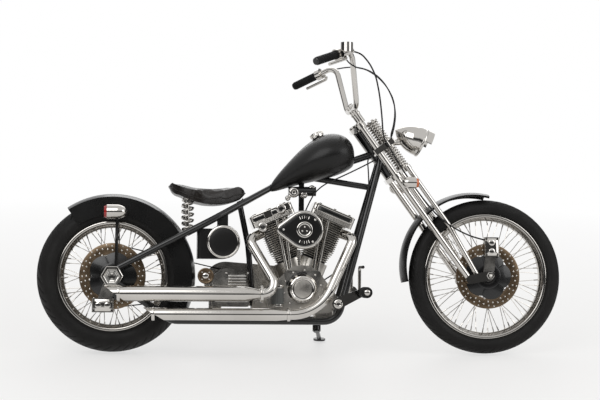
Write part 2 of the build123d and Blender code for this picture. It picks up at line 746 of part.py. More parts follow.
with BuildPart() as crankcase:
    add(web(side_plane(CASE_HALF), [
        (CRANK_X, CRANK_Z, CASE_R), (CRANK_X - CASE_R, CRANK_Z - CASE_R / 2, CASE_R / 2),
        (CRANK_X + CASE_R, CRANK_Z - CASE_R / 2, CASE_R / 2)], CASE_HALF * 2))
    for lean in (-1, 1):
        add(web(bank(lean), [(0, 0, DECK_R)], DECK_TOP))
    foot_h = CRANK_Z - RAIL_Z - STAY_R - FIT
    for x in (POST_FOOT_X + STAY_R * 2, FOOT_TUBES_X[1]):
        add(block(Plane.XY.offset(RAIL_Z + STAY_R + FIT).shift_origin((x, 0, RAIL_Z + STAY_R + FIT)),
                  STAY_R * 6, CASE_HALF, STAY_R / 2, foot_h))
    add(web(side_plane(PRIMARY_Y - FIT), [(CRANK_X, CRANK_Z, CASE_R * 3 / 4)], PRIMARY_Y - FIT))
    add(crossmembers.part, mode=Mode.SUBTRACT)
keep("crankcase", crankcase.part, "chassis")

with BuildPart() as cam_cover:
    add(web(side_plane(-CASE_HALF), [
        (CRANK_X, CRANK_Z, NOSE_R), (CRANK_X - NOSE_R, CRANK_Z + NOSE_R, GEARCASE_T),
        (CRANK_X + NOSE_R, CRANK_Z + NOSE_R, GEARCASE_T)], GEARCASE_T))
    add(lathe(side_plane(-CASE_HALF), [(0, 0), (NOSE_R, 0), (NOSE_R, GEARCASE_T), (NOSE_R - LIP * 2, NOSE_T),
                                       (0, NOSE_T)]).moved(Location((CRANK_X, 0, CRANK_Z))))
keep("cam_cover", cam_cover.part, "chassis")

cylinders = []
heads = []
rocker_boxes = []
for lean in (-1, 1):
    plane = bank(lean)
    with BuildPart() as barrel:
        add(web(plane.offset(DECK_TOP), [(0, 0, BARREL_R)], BARREL_TOP - DECK_TOP))
        for index in range(int((BARREL_TOP - DECK_TOP) / FIN_PITCH)):
            add(block(plane.offset(DECK_TOP + FIN_PITCH * (index + 1 / 2)), FIN_X, FIN_Y, FIN_CORNER, FIN_T))
        add(half_space(lean), mode=Mode.SUBTRACT)
        add(crankcase.part, mode=Mode.SUBTRACT)
    cylinders.append(main_body(barrel.part).solid())
    with BuildPart() as head:
        add(block(plane.offset(BARREL_TOP), HEAD_X, HEAD_Y, FIN_CORNER, HEAD_TOP - BARREL_TOP))
    heads.append(head.part)
    with BuildPart() as rocker_box:
        add(block(plane.offset(HEAD_TOP), ROCKER_X, ROCKER_Y, ROCKER_CORNER, ROCKER_TOP - HEAD_TOP))
        add(half_space(lean), mode=Mode.SUBTRACT)
    rocker_boxes.append(rocker_box.part)
keep("cylinders", Compound(cylinders), "chassis")
keep("cylinder_heads", Compound([head.solid() for head in heads]), "chassis")
keep("rocker_boxes", Compound([box.solid() for box in rocker_boxes]), "chassis")

rods = []
for lean in (-1, 1):
    for foot, top in PUSHRODS:
        end = bank(lean).from_local_coords(Vector(-lean * top, -PUSHROD_Y, HEAD_TOP - FIT))
        rods.append(bar([(CRANK_X + lean * foot, -PUSHROD_Y, PUSHROD_FOOT_Z), end], PUSHROD_R))
with BuildPart() as pushrods:
    add(rods)
    add(crankcase.part, mode=Mode.SUBTRACT)
    add(cam_cover.part, mode=Mode.SUBTRACT)
    add(rocker_boxes, mode=Mode.SUBTRACT)
keep("pushrod_tubes", pushrods.part, "chassis")

with BuildPart() as carburettor:
    add(bar([(CRANK_X - FIN_X / 2, 0, MANIFOLD_Z), (CRANK_X + FIN_X / 2, 0, MANIFOLD_Z)], MANIFOLD_R))
    add(web(side_plane(0), [(CRANK_X, MANIFOLD_Z - MANIFOLD_R / 2, CARB_R)], CARB_Y))
    add(heads, mode=Mode.SUBTRACT)
keep("carburettor", carburettor.part, "chassis")

with BuildPart() as air_cleaner:
    add(web(side_plane(-CARB_Y), [
        (CLEANER_X, CLEANER_Z, CLEANER_R), (CLEANER_TIP_X, CLEANER_Z, CLEANER_TIP_R)], CLEANER_T))
keep("air_cleaner", air_cleaner.part, "chassis")

filter_y = CASE_HALF + FIT + FILTER_R
with BuildPart() as oil_filter:
    add(web(Plane.XY.offset(FILTER_Z), [(FILTER_X, -filter_y, FILTER_R)], FILTER_H))
keep("oil_filter", oil_filter.part, "chassis")

with BuildPart() as engine_mount:
    with BuildSketch(Plane.XY.offset(MANIFOLD_Z)):
        with Locations((CRANK_X, 0)):
            Rectangle(MOUNT_HALF * 2, MOUNT_T * 2)
    extrude(amount=BRACE_REAR[2] - MANIFOLD_Z)
    add(web(side_plane(0), [(CRANK_X, COIL_Z, MOUNT_HALF)], COIL_Y))
    add(bar([(CRANK_X - COIL_HALF, -COIL_Y, COIL_Z), (CRANK_X + COIL_HALF, -COIL_Y, COIL_Z)], COIL_R))
    add(backbone.part, mode=Mode.SUBTRACT)
    add(carburettor.part, mode=Mode.SUBTRACT)
keep("engine_mount", main_body(engine_mount.part), "chassis")

# Gearbox, primary drive, starter and oil
gearbox_mid = (GEARBOX_FRONT + GEARBOX_REAR) / 2
with BuildPart() as gearbox:
    add(block(Plane((gearbox_mid, 0, GEARBOX_FLOOR)), GEARBOX_FRONT - GEARBOX_REAR, GEARBOX_HALF * 2,
              STAY_R, GEARBOX_TOP - GEARBOX_FLOOR))
    add(web(side_plane(GEARBOX_HALF), [(GEARBOX_X, GEARBOX_Z, GEARBOX_R)], GEARBOX_HALF * 2))
    add(web(side_plane(belt_high), [(GEARBOX_X, GEARBOX_Z, SMALL_PULLEY_R)], BELT_W))
    add(web(side_plane(PRIMARY_Y - FIT), [(GEARBOX_X, GEARBOX_Z, SMALL_PULLEY_R / 2)],
            PRIMARY_Y - GEARBOX_HALF))
    add(block(Plane((FOOT_TUBES_X[0] + STAY_R, 0, RAIL_Z + STAY_R + FIT)), STAY_R * 4, GEARBOX_HALF,
              STAY_R / 2, GEARBOX_TOP - RAIL_Z - STAY_R * 2))
    with BuildSketch(side_plane(-GEARBOX_HALF)):
        with Locations(((GEARBOX_FRONT + GEARBOX_X) / 2, (GEARBOX_FLOOR + GEARBOX_Z) / 2)):
            RectangleRounded(GEARBOX_FRONT - GEARBOX_X, GEARBOX_Z - GEARBOX_FLOOR, STAY_R)
    extrude(amount=GEARCASE_T)
keep("gearbox", gearbox.part, "chassis")

with BuildPart() as starter:
    add(web(side_plane(CASE_HALF / 2), [(STARTER_X, STARTER_Z, STARTER_R)], CASE_HALF * 2))
    add(web(side_plane(CASE_HALF / 2), [
        (STARTER_X, STARTER_Z, STARTER_R / 2), (GEARBOX_X, GEARBOX_Z, STARTER_R / 2)], CASE_HALF))
    add(gearbox.part, mode=Mode.SUBTRACT)
keep("starter", main_body(starter.part), "chassis")

with BuildPart() as primary:
    add(web(side_plane(PRIMARY_Y + PRIMARY_T), [
        (CRANK_X, CRANK_Z, PRIMARY_R), (GEARBOX_X, GEARBOX_Z, PRIMARY_R)], PRIMARY_T))
keep("primary_cover", primary.part, "chassis")

with BuildPart() as oil_tank:
    add(web(side_plane(OIL_HALF), [(OIL_X, OIL_Z, OIL_R)], OIL_HALF * 2))
    for side in (-1, 1):
        with BuildSketch(Plane.XY.offset(OIL_Z)):
            with Locations((OIL_X, side * nose_tube_y * 3 / 2)):
                Rectangle(STAY_R * 3, STAY_R)
        extrude(amount=stay_height(OIL_X) - OIL_Z)
    add(frame_sides, mode=Mode.SUBTRACT)
keep("oil_tank", main_body(oil_tank.part), "chassis")

with BuildPart() as battery_box:
    with BuildSketch(Plane.XY.offset(OIL_Z - OIL_R)):
        with Locations(((BATTERY_REAR + OIL_X) / 2, 0)):
            RectangleRounded(OIL_X - BATTERY_REAR, OIL_HALF * 7 / 4, STAY_R)
    extrude(amount=OIL_R * 2 - STAY_R)
    add(web(side_plane(OIL_HALF), [(OIL_X, OIL_Z, OIL_R)], OIL_HALF * 2), mode=Mode.SUBTRACT)
keep("battery_box", main_body(battery_box.part), "chassis")

# Exhaust


def muffler(z, radius, tail, front):
    """Straight muffler with a cone in front and an open, slanted tail."""
    plane = Plane(origin=(tail, -PIPE_Y, z), x_dir=(0, 1, 0), z_dir=(1, 0, 0))
    length = front - tail
    with BuildPart() as can:
        add(lathe(plane, [(0, 0), (radius, 0), (radius, length - PIPE_TAPER), (PIPE_R, length), (0, length)]))
        bore = radius - TAIL_WALL
        add(lathe(plane, [(0, 0), (bore, 0), (bore, TAIL_DEPTH), (0, TAIL_DEPTH)]), mode=Mode.SUBTRACT)
        with BuildSketch(side_plane(-PIPE_Y)):
            with BuildLine():
                Polyline((tail - radius, z + radius), (tail, z + radius), (tail + TAIL_SLANT, z - radius),
                         (tail + TAIL_SLANT, z - radius * 2), (tail - radius, z - radius * 2), close=True)
            make_face()
        extrude(amount=radius * 2, both=True, mode=Mode.SUBTRACT)
    return can.part


for name, port, bend, z, radius, tail, front in (
    ("exhaust_rear", REAR_PORT, UPPER_BEND, UPPER_Z, UPPER_R, UPPER_TAIL, UPPER_FRONT),
    ("exhaust_front", FRONT_PORT, LOWER_BEND, LOWER_Z, LOWER_R, LOWER_TAIL, LOWER_FRONT - PIPE_R),
):
    turn_x, radii = bend
    path = [*port, (turn_x, -PIPE_Y, z), (front - PIPE_R, -PIPE_Y, z)]
    with BuildPart() as pipe:
        add(bar(path, PIPE_R, radii))
        add(muffler(z, radius, tail, front))
        add(heads, mode=Mode.SUBTRACT)
    keep(name, main_body(pipe.part), "chassis")

# Tank and saddle
backbone_slope = (NECK_Z - BACKBONE_REAR[2]) / (NECK_X - BACKBONE_REAR[0])
with BuildPart() as tank:
    for x, z, height, half in TANK_STATIONS:
        with BuildSketch(Plane(origin=(x, 0, z), x_dir=(0, 1, 0), z_dir=(1, 0, 0))):
            Ellipse(half, height)
    loft()
    with BuildSketch(side_plane(TUBE_R + TUNNEL_GAP)):
        with BuildLine():
            low = BACKBONE_REAR[2] + (TUBE_R + TUNNEL_GAP) / cos(atan(backbone_slope))
            tail_x = BACKBONE_REAR[0] - TUBE_R * 6
            Polyline((tail_x, low - backbone_slope * (BACKBONE_REAR[0] - tail_x)),
                     (NECK_X, low + backbone_slope * (NECK_X - BACKBONE_REAR[0])),
                     (NECK_X, low - CUT), (tail_x, low - CUT), close=True)
        make_face()
    extrude(amount=(TUBE_R + TUNNEL_GAP) * 2, mode=Mode.SUBTRACT)
    add(frame_sides, mode=Mode.SUBTRACT)
    cap_plane = Plane(origin=(CAP_X, 0, CAP_Z), x_dir=(cos(radians(CAP_TILT)), 0, -sin(radians(CAP_TILT))),
                      z_dir=(sin(radians(CAP_TILT)), 0, cos(radians(CAP_TILT))))
    add(web(cap_plane.offset(-CAP_R), [(0, 0, CAP_R - LIP)], CAP_R))
keep("fuel_tank", main_body(tank.part), "chassis")
keep("fuel_cap", lathe(cap_plane, [(0, 0), (CAP_R, 0), (CAP_R, CAP_H / 2), (CAP_R - LIP, CAP_H), (0, CAP_H)]),
     "chassis")

with BuildPart() as seat:
    with BuildSketch(side_plane(SEAT_HALF)):
        with BuildLine():
            top = ThreePointArc(*SEAT_TOP)
            nose = ThreePointArc(top @ 1, SEAT_NOSE, SEAT_FRONT)
            under = ThreePointArc(*SEAT_UNDER)
            Line(nose @ 1, under @ 0)
            back = ThreePointArc(under @ 1, *SEAT_BACK)
            Line(back @ 1, top @ 0)
        make_face()
    extrude(amount=SEAT_HALF * 2)
    with BuildSketch(Plane.XY.offset(RAIL_Z)):
        for y in (-SEAT_HALF / 6, SEAT_HALF / 6):
            with Locations((SEAT_REAR + SEAT_HALF * 5 / 6, y)):
                Circle(SEAT_HALF * 5 / 6)
        with Locations((SEAT_FRONT[0] - SEAT_HALF / 3, 0)):
            Circle(SEAT_HALF / 3)
        make_hull()
    extrude(amount=NECK_Z, mode=Mode.INTERSECT)
keep("seat", seat.part, "chassis")

spring_foot_z = saddle_tube_z + SADDLE_TUBE_R
with BuildPart() as seat_springs:
    for side in (-1, 1):
        origin = (SADDLE_SPRING_X, side * SADDLE_SPRING_Y, spring_foot_z + FIT)
        height = SADDLE_SPRING_TOP - spring_foot_z
        pitch = height / SADDLE_SPRING_TURNS
        profile = [(0, 0)]
        for index in range(SADDLE_SPRING_TURNS):
            profile.append((SADDLE_SPRING_R, pitch * (index + 1 / 4)))
            profile.append((SADDLE_SPRING_R - LIP, pitch * (index + 3 / 4)))
        profile += [(SADDLE_SPRING_R, height), (0, height)]
        add(lathe(Plane(origin), profile))
    add(seat.part, mode=Mode.SUBTRACT)
spring_limit_z = SADDLE_SPRING_TOP - SADDLE_SPRING_R
low_springs = [solid for solid in seat_springs.part.solids() if solid.center().Z < spring_limit_z]
keep("seat_springs", Compound(low_springs), "chassis")

with BuildPart() as seat_bracket:
    add(block(Plane((NOSE_TUBE_X, 0, nose_tube_z)), STAY_R * 2, STAY_R * 2, LIP, SEAT_HALF / 2))
    add(seat.part, mode=Mode.SUBTRACT)
    add(frame_sides, mode=Mode.SUBTRACT)
bracket_body = seat_bracket.part.solids().sort_by(Axis.Z)[0]
with BuildPart() as inner_frame:
    add(inner_tubes)
    add(bracket_body)
keep("frame_crossmembers", inner_frame.part, "chassis")

# Steering: legs, crowns, spring perch, rockers and springs
pivot_u, pivot_w = fork_place(*ROCKER_PIVOT)
mid_u, mid_w = fork_place(*ROCKER_MID)
axle_u, axle_w = fork_place(WHEELBASE, FRONT_R)
crown_low = -NECK_HALF - CROWN_GAP - CROWN_T
crown_high = NECK_HALF + CROWN_GAP


def eye(u, w, radius, y_low, y_high):
    """Round boss across the fork, from y_low to y_high."""
    centre = on_fork(u, 0, w)
    return web(side_plane(y_high), [(centre.X, centre.Z, radius)], y_high - y_low)


with BuildPart() as rear_legs:
    for side in (-1, 1):
        y = side * LEG_Y
        add(bar([on_fork(0, y, pivot_w), on_fork(0, y, crown_high + CROWN_T)], REAR_LEG_R))
        add(eye(0, pivot_w, EYE_R, y - EYE_HALF, y + EYE_HALF))
keep("fork_rear_legs", rear_legs.part, "fork")

with BuildPart() as front_legs:
    for side in (-1, 1):
        y = side * LEG_Y
        path = [on_fork(FRONT_LEG_U, y, YOKE_W), on_fork(FRONT_LEG_U, y, FRONT_LEG_KNEE_W),
                on_fork(mid_u, y, mid_w)]
        add(bar(path, FRONT_LEG_R, BEND_R * 3))
        add(eye(mid_u, mid_w, EYE_R - LIP, y - EYE_HALF, y + EYE_HALF))
        add(bar([on_fork(FRONT_LEG_U, side * SPRING_Y, YOKE_W), on_fork(FRONT_LEG_U, side * SPRING_Y,
                                                                       SPRING_TOP_W + ROD_R)], ROD_R))
    add(web(FORK.offset(YOKE_W), [(FRONT_LEG_U, -LEG_Y, REAR_LEG_R), (FRONT_LEG_U, LEG_Y, REAR_LEG_R)],
            YOKE_T))
keep("fork_front_legs", front_legs.part, "fork")

with BuildPart() as crowns:
    for w in (crown_low, crown_high):
        add(web(FORK.offset(w), [(0, -LEG_Y, CROWN_R), (0, 0, CROWN_CENTRE_R), (0, LEG_Y, CROWN_R)], CROWN_T))
    add(bar([on_fork(0, 0, crown_low), on_fork(0, 0, crown_high + CROWN_T + LIP)], STEM_R))
    add(rear_legs.part, mode=Mode.SUBTRACT)

perch_in = NECK_R + CROWN_GAP
perch_out = FRONT_LEG_U + SPRING_R
with BuildPart() as perch:
    with BuildSketch(FORK.offset(PERCH_W)):
        with Locations(((perch_in + perch_out) / 2, 0)):
            RectangleRounded(perch_out - perch_in, (LEG_Y + REAR_LEG_R) * 2, LIP)
        for side in (-1, 1):
            with Locations((perch_in / 2, side * LEG_Y)):
                RectangleRounded(perch_in + CROWN_R * 2, CROWN_R * 2, LIP)
    extrude(amount=PERCH_T)
    add(rear_legs.part, mode=Mode.SUBTRACT)
    with BuildSketch(FORK.offset(PERCH_W)):
        for side in (-1, 1):
            with Locations((FRONT_LEG_U, side * SPRING_Y)):
                Circle(ROD_R + FIT)
    extrude(amount=PERCH_T, mode=Mode.SUBTRACT)
keep("fork_crowns", Compound([main_body(crowns.part).solid(), main_body(perch.part).solid()]), "fork")


def ribbed_spring(u, y, low, high):
    """Coil spring drawn as a ribbed sleeve round its rod."""
    turns = round((high - low) / SPRING_PITCH)
    pitch = (high - low) / turns
    bore = ROD_R + FIT
    profile = [(bore, 0), (SPRING_CORE_R, 0)]
    for index in range(turns):
        profile += [(SPRING_R, pitch * (index + 1 / 2)), (SPRING_CORE_R, pitch * (index + 1))]
    profile += [(bore, high - low)]
    centre = on_fork(u, y, low)
    return lathe(Plane(origin=centre, x_dir=FORK.x_dir, z_dir=FORK.z_dir), profile)


springs = []
for side in (-1, 1):
    springs.append(ribbed_spring(FRONT_LEG_U, side * SPRING_Y, YOKE_W + YOKE_T, PERCH_W).solid())
    springs.append(ribbed_spring(FRONT_LEG_U, side * SPRING_Y, PERCH_W + PERCH_T, SPRING_TOP_W).solid())
keep("fork_springs", Compound(springs), "fork")

rocker_low = LEG_Y + EYE_HALF + FIT
rocker_high = rocker_low + ROCKER_T
with BuildPart() as rockers:
    for side in (-1, 1):
        top = rocker_high if side > 0 else -rocker_low
        add(web(side_plane(top), [
            (*ROCKER_PIVOT, EYE_R), (*ROCKER_MID, EYE_R - LIP), (WHEELBASE, FRONT_R, EYE_R)], ROCKER_T))
        add(turned([
            (0, 0), (AXLE_R, 0), (AXLE_R, side * (FRONT_HUB_HALF + FIT)),
            (SPACER_R, side * (FRONT_HUB_HALF + FIT)),
            (SPACER_R, side * rocker_high), (0, side * rocker_high)]).moved(front_centre))
keep("fork_rockers", rockers.part, "fork")

# Front fender, lamps and brake
front_fender = fender(FRONT_FENDER_X, FRONT_FENDER_Z, FRONT_FENDER_R, FRONT_FENDER_HALF, FRONT_FENDER_CROWN,
                      FRONT_FENDER_SIDE, FRONT_FENDER_START, FRONT_FENDER_END)
with BuildPart() as front_guard:
    add(front_fender)
    for side in (-1, 1):
        low, high = sorted((side * (FRONT_FENDER_HALF - FENDER_T), side * LEG_Y))
        add(eye(0, FENDER_BOSS_W, FENDER_BOSS_R, low, high))
    add(rear_legs.part, mode=Mode.SUBTRACT)
keep("front_fender", main_body(front_guard.part), "fork")

front_lamps = []
stalks = []
for side in (-1, 1):
    centre = on_fork(FRONT_BULLET_U, side * FRONT_BULLET_Y, FRONT_BULLET_W)
    front_lamps.append(bullet_lamp(*centre, FRONT_BULLET_R, FRONT_BULLET_LENGTH, 1))
    stalks.append(bar([on_fork(0, side * LEG_Y, FRONT_BULLET_W), centre], STRUT_R))
with BuildPart() as front_signals:
    add([housing for housing, lens in front_lamps])
    add(stalks)
    add(rear_legs.part, mode=Mode.SUBTRACT)
outer = [solid for solid in front_signals.part.solids() if abs(solid.center().Y) > LEG_Y]
keep("front_signals", Compound(outer), "fork")
keep("front_signal_lenses", Compound([lens.solid() for housing, lens in front_lamps]), "fork")

dip = radians(HEADLIGHT_DIP)
lamp_plane = Plane(origin=(HEADLIGHT_X, 0, HEADLIGHT_Z), x_dir=(0, 1, 0), z_dir=(cos(dip), 0, -sin(dip)))
with BuildPart() as headlight:
    with BuildSketch(Plane(origin=lamp_plane.origin, x_dir=lamp_plane.x_dir, z_dir=-lamp_plane.y_dir)):
        with BuildLine():
            Polyline((0, 0), (HEADLIGHT_R, 0), (HEADLIGHT_R, -HEADLIGHT_DEPTH / 6))
            RadiusArc((HEADLIGHT_R, -HEADLIGHT_DEPTH / 6), (0, -HEADLIGHT_DEPTH), HEADLIGHT_DEPTH)
            Line((0, -HEADLIGHT_DEPTH), (0, 0))
        make_face()
    revolve(axis=Axis(lamp_plane.origin, lamp_plane.z_dir))
    with BuildSketch(lamp_plane):
        Circle(HEADLIGHT_R)
        Circle(HEADLIGHT_R - HEADLIGHT_WALL, mode=Mode.SUBTRACT)
        with Locations((0, -HEADLIGHT_R)):
            Rectangle(HEADLIGHT_R * 2, HEADLIGHT_R * 2, mode=Mode.SUBTRACT)
    extrude(amount=VISOR_REACH)
    add(bar([on_fork(perch_out - LIP, 0, PERCH_W + PERCH_T / 2),
             (HEADLIGHT_X - HEADLIGHT_DEPTH / 2, 0, HEADLIGHT_Z)], STEM_R))
    add(perch.part, mode=Mode.SUBTRACT)
keep("headlight", main_body(headlight.part), "fork")
headlight_lens = lathe(lamp_plane, [(0, 0), (HEADLIGHT_R - HEADLIGHT_WALL - FIT, 0),
                                    (HEADLIGHT_R - HEADLIGHT_WALL * 4, LENS_T), (0, LENS_T + LIP)])
keep("headlight_lens", headlight_lens, "fork")


def caliper(size, disc_x, disc_z, disc_y):
    """Two-sided brake caliper over a disc's edge, with a flat arm to the axle's spacer."""
    forward, above, width, height = size
    centre_x = disc_x + forward
    centre_z = disc_z + above
    half = DISC_T / 2 + PAD_GAP
    plate = side_plane(disc_y - half)
    with BuildPart() as body:
        add(block(Plane((centre_x, disc_y, centre_z - height / 2)), width, half * 5, LIP, height))
        add(web(side_plane(disc_y + half), [(disc_x, disc_z, DISC_R + PAD_GAP)], half * 2),
            mode=Mode.SUBTRACT)
        add(web(side_plane(disc_y + half * 3), [(disc_x, disc_z, CARRIER_R + PAD_GAP)], half * 3),
            mode=Mode.SUBTRACT)
        add(web(plate, [(centre_x, centre_z, width / 3), (disc_x, disc_z, EYE_R + LIP)], ROCKER_T / 2))
        add(web(plate, [(disc_x, disc_z, SPACER_R + FIT)], ROCKER_T / 2), mode=Mode.SUBTRACT)
    return body.part


front_caliper = caliper(FRONT_CALIPER, WHEELBASE, FRONT_R, -FRONT_DISC_Y)
keep("front_caliper", front_caliper, "fork")
keep("rear_caliper", caliper(REAR_CALIPER, 0, REAR_R, -REAR_DISC_Y), "chassis")

# Handlebar, grips and hand controls
clamp_u, clamp_w = BAR_CLAMP
clamp = on_fork(clamp_u, 0, clamp_w)
with BuildPart() as handlebar:
    half_path = [BAR_END, BAR_TOP, (clamp.X, BAR_BASE_Y, clamp.Z)]
    add(bar(half_path + both(half_path)[::-1], BAR_R, BAR_BEND_R))
    for side in (-1, 1):
        add(bar([on_fork(clamp_u, side * RISER_Y, crown_high + CROWN_T),
                 on_fork(clamp_u, side * RISER_Y, clamp_w + BAR_R + LIP)], RISER_R))
keep("handlebar", handlebar.part, "fork")

bar_end = Vector(*BAR_END)
grip_dir = (bar_end - Vector(*BAR_TOP)).normalized()


def on_bar(distance, side):
    """Point on a handlebar end, at a distance in from its tip."""
    point = bar_end - grip_dir * distance
    return Vector(point.X, side * point.Y, point.Z)


with BuildPart() as grips:
    for side in (-1, 1):
        add(bar([on_bar(-LIP, side), on_bar(GRIP_LENGTH, side)], GRIP_R))
    add(handlebar.part, mode=Mode.SUBTRACT)
keep("grips", grips.part, "fork")

with BuildPart() as hand_controls:
    for side in (-1, 1):
        add(bar([on_bar(GRIP_LENGTH + FIT, side), on_bar(GRIP_LENGTH + CONTROL_R, side)], BAR_R * 2))
        root = on_bar(GRIP_LENGTH + CONTROL_R / 2, side)
        tip = on_bar(LIP, side)
        out = Vector(CONTROL_R * 2, 0, -CONTROL_R / 2)
        add(bar([root, root + out, tip + out], STRUT_R, CONTROL_R / 2))
    ahead = Vector(grip_dir.Y, grip_dir.X, 0).normalized() * MASTER_GAP
    master_low = on_bar(GRIP_LENGTH + LIP, -1) + ahead
    master_high = on_bar(GRIP_LENGTH + MASTER_LENGTH, -1) + ahead
    add(bar([master_low, master_high], MASTER_R))
    cup = (master_low + master_high) / 2
    add(web(Plane.XY.offset(cup.Z), [(cup.X, cup.Y, RESERVOIR_R)], RESERVOIR_H))
    add(handlebar.part, mode=Mode.SUBTRACT)
keep("hand_controls", hand_controls.part, "fork")

# Hoses and cables


def hose(points, radius):
    """Tube along a route, each arc as wide as its two runs allow; prints its radii and its volume's share."""
    route = [Vector(*point) for point in points]
    runs = [end - start for start, end in zip(route, route[1:])]
    half_turns = [radians(one.get_angle(two)) / 2 for one, two in zip(runs, runs[1:])]
    radii = [ARC_SHARE * min(one.length, two.length) / tan(half)
             for one, two, half in zip(runs, runs[1:], half_turns)]
    tube = bar(route, radius, radii)
    saved = sum(2 * bend * (tan(half) - half) for bend, half in zip(radii, half_turns))
    length = sum(run.length for run in runs) - saved
    print("hose radii", [round(bend) for bend in radii], "length", round(length),
          "volume share", round(tube.volume / (pi * radius ** 2 * length), 4))
    return tube


with BuildPart() as brake_hose:
    add(hose([*BRAKE_HOSE_TOP, *(on_fork(*point) for point in BRAKE_HOSE_LEG)], HOSE_R))
    add(front_caliper, mode=Mode.SUBTRACT)
    add(hand_controls.part, mode=Mode.SUBTRACT)
keep("brake_hose", main_body(brake_hose.part), "fork")

with BuildPart() as bar_cables:
    for route in BAR_CABLES:
        add(hose(route, CABLE_R))
    add(perch.part, mode=Mode.SUBTRACT)
    add(handlebar.part, mode=Mode.SUBTRACT)
    add(hand_controls.part, mode=Mode.SUBTRACT)
keep("bar_cables", bar_cables.part, "fork")

with BuildPart() as frame_cables:
    for route in FRAME_CABLES:
        add(hose(route, CABLE_R))
    add(neck, mode=Mode.SUBTRACT)
    add(crankcase.part, mode=Mode.SUBTRACT)
    add(carburettor.part, mode=Mode.SUBTRACT)
keep("frame_cables", frame_cables.part, "chassis")

# Forward controls
controls = []
rubbers = []
for side in (-1, 1):
    low, high = sorted((side * CONTROL_IN, side * (CONTROL_IN + CONTROL_ARM_T)))
    with BuildPart() as control:
        add(web(side_plane(high), [(CONTROL_X, CONTROL_Z, CONTROL_R), (PEG_X, PEG_Z, CONTROL_R * 2 / 3)],
                CONTROL_ARM_T))
        inner_low, inner_high = sorted((side * (RAIL_Y - TUBE_R), side * CONTROL_OUT))
        add(web(side_plane(inner_high), [(CONTROL_X, CONTROL_Z, CONTROL_R)], inner_high - inner_low))
        peg_low, peg_high = sorted((side * CONTROL_IN, side * PEG_Y))
        add(web(side_plane(peg_high), [(PEG_X, PEG_Z, PEG_R)], peg_high - peg_low))
        add(bar([(PEG_X - PEG_R, side * (CONTROL_IN + CONTROL_ARM_T / 2), PEG_Z),
                 (PEG_X - PEG_R, side * (CONTROL_IN + CONTROL_ARM_T / 2), PEDAL_Z),
                 (PEG_X - PEG_R, side * (PEG_Y - PEG_RUBBER / 2), PEDAL_Z)], PEDAL_R, CONTROL_ARM_T))
        add(frame_sides, mode=Mode.SUBTRACT)
    controls.append(main_body(control.part).solid())
    rub_low, rub_high = sorted((side * (PEG_Y - PEG_RUBBER), side * PEG_Y))
    with BuildPart() as rubber:
        add(web(side_plane(rub_high), [(PEG_X, PEG_Z, PEG_RUBBER_R)], rub_high - rub_low))
        add(web(side_plane(rub_high), [(PEG_X, PEG_Z, PEG_R)], rub_high - rub_low), mode=Mode.SUBTRACT)
    rubbers.append(rubber.part.solid())
keep("forward_controls", Compound(controls), "chassis")
keep("foot_pegs", Compound(rubbers), "chassis")

# Stance: what the lean and the steering do to the tyres, and the side stand that meets the ground
lean = radians(LEAN)
steer_axis = Vector(-sin(rake), 0, cos(rake))


def leaned(point):
    """A point after the machine leans to its left about the ground line of its wheels."""
    return Vector(point.X, point.Y * cos(lean) + point.Z * sin(lean),
                  point.Z * cos(lean) - point.Y * sin(lean))


def lowest(centre, axle, radius, crown_r):
    """Height of the lowest point of a tyre whose tread is an arc across its width."""
    return centre.Z - (radius - crown_r) * sqrt(1 - axle.Z ** 2) - crown_r


axle_turned = Vector(0, 1, 0).rotate(Axis((0, 0, 0), steer_axis), STEER_REST)
turn = radians(STEER_REST)
turned_centre = on_fork(axle_u * cos(turn), axle_u * sin(turn), axle_w)
rear_drop = lowest(leaned(Vector(0, 0, REAR_R)), leaned(Vector(0, 1, 0)), REAR_R, REAR_CROWN_R)
front_drop = lowest(leaned(turned_centre), leaned(axle_turned), FRONT_R, FRONT_CROWN_R)
pitch_slope = (front_drop - rear_drop) / turned_centre.X


def ground_height(x, y):
    """Upright height of a point that touches the ground once the machine leans."""
    return (rear_drop + pitch_slope * x) / cos(lean) + y * tan(lean)


foot_z = ground_height(STAND_FOOT_X, STAND_FOOT_Y)
ground_normal = Vector(0, -sin(lean), cos(lean))
foot_plane = Plane(origin=(STAND_FOOT_X, STAND_FOOT_Y, foot_z), x_dir=(1, 0, 0), z_dir=ground_normal)
with BuildPart() as side_stand:
    add(web(eye_plane.offset(-STAND_EYE_T / 2), [(0, 0, STAND_EYE_R)], STAND_EYE_T))
    add(bar([pivot, foot_plane.origin + ground_normal * STAND_FOOT_T / 2], STAND_LEG_R))
    add(web(foot_plane, [(0, 0, STAND_FOOT_R)], STAND_FOOT_T))
    add(web(eye_plane.offset(-STAND_EYE_T), [(0, 0, STAND_PIN_R + PIN_GAP)], STAND_EYE_T * 2),
        mode=Mode.SUBTRACT)
keep("side_stand", side_stand.part, "side_stand")

# Stand the machine up and write its pieces
steered_bodies = ("fork", "front_wheel")
pitch = degrees(atan(pitch_slope))


def stood(part, body):
    """A finished piece as it stands when parked, before the origin is set."""
    shape = part.rotate(STEER_AXIS, STEER_REST) if body in steered_bodies else part
    shape = shape.rotate(Axis.X, -LEAN).rotate(Axis.Y, pitch)
    return shape.translate((0, 0, -rear_drop))


placed = {name: stood(part, body) for name, (part, body) in pieces.items()}
boxes = [shape.bounding_box() for shape in placed.values()]
middle_x = (min(box.min.X for box in boxes) + max(box.max.X for box in boxes)) / 2
middle_y = (min(box.min.Y for box in boxes) + max(box.max.Y for box in boxes)) / 2
os.makedirs("parts", exist_ok=True)
for name, shape in placed.items():
    shape = shape.translate((-middle_x, -middle_y, 0))
    shape.label = name
    export_step(shape, "parts/" + name + ".step")
print("origin", middle_x, middle_y, "drop", rear_drop, "pitch", pitch)
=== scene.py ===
import json
from math import cos, pi, radians, sin, tan

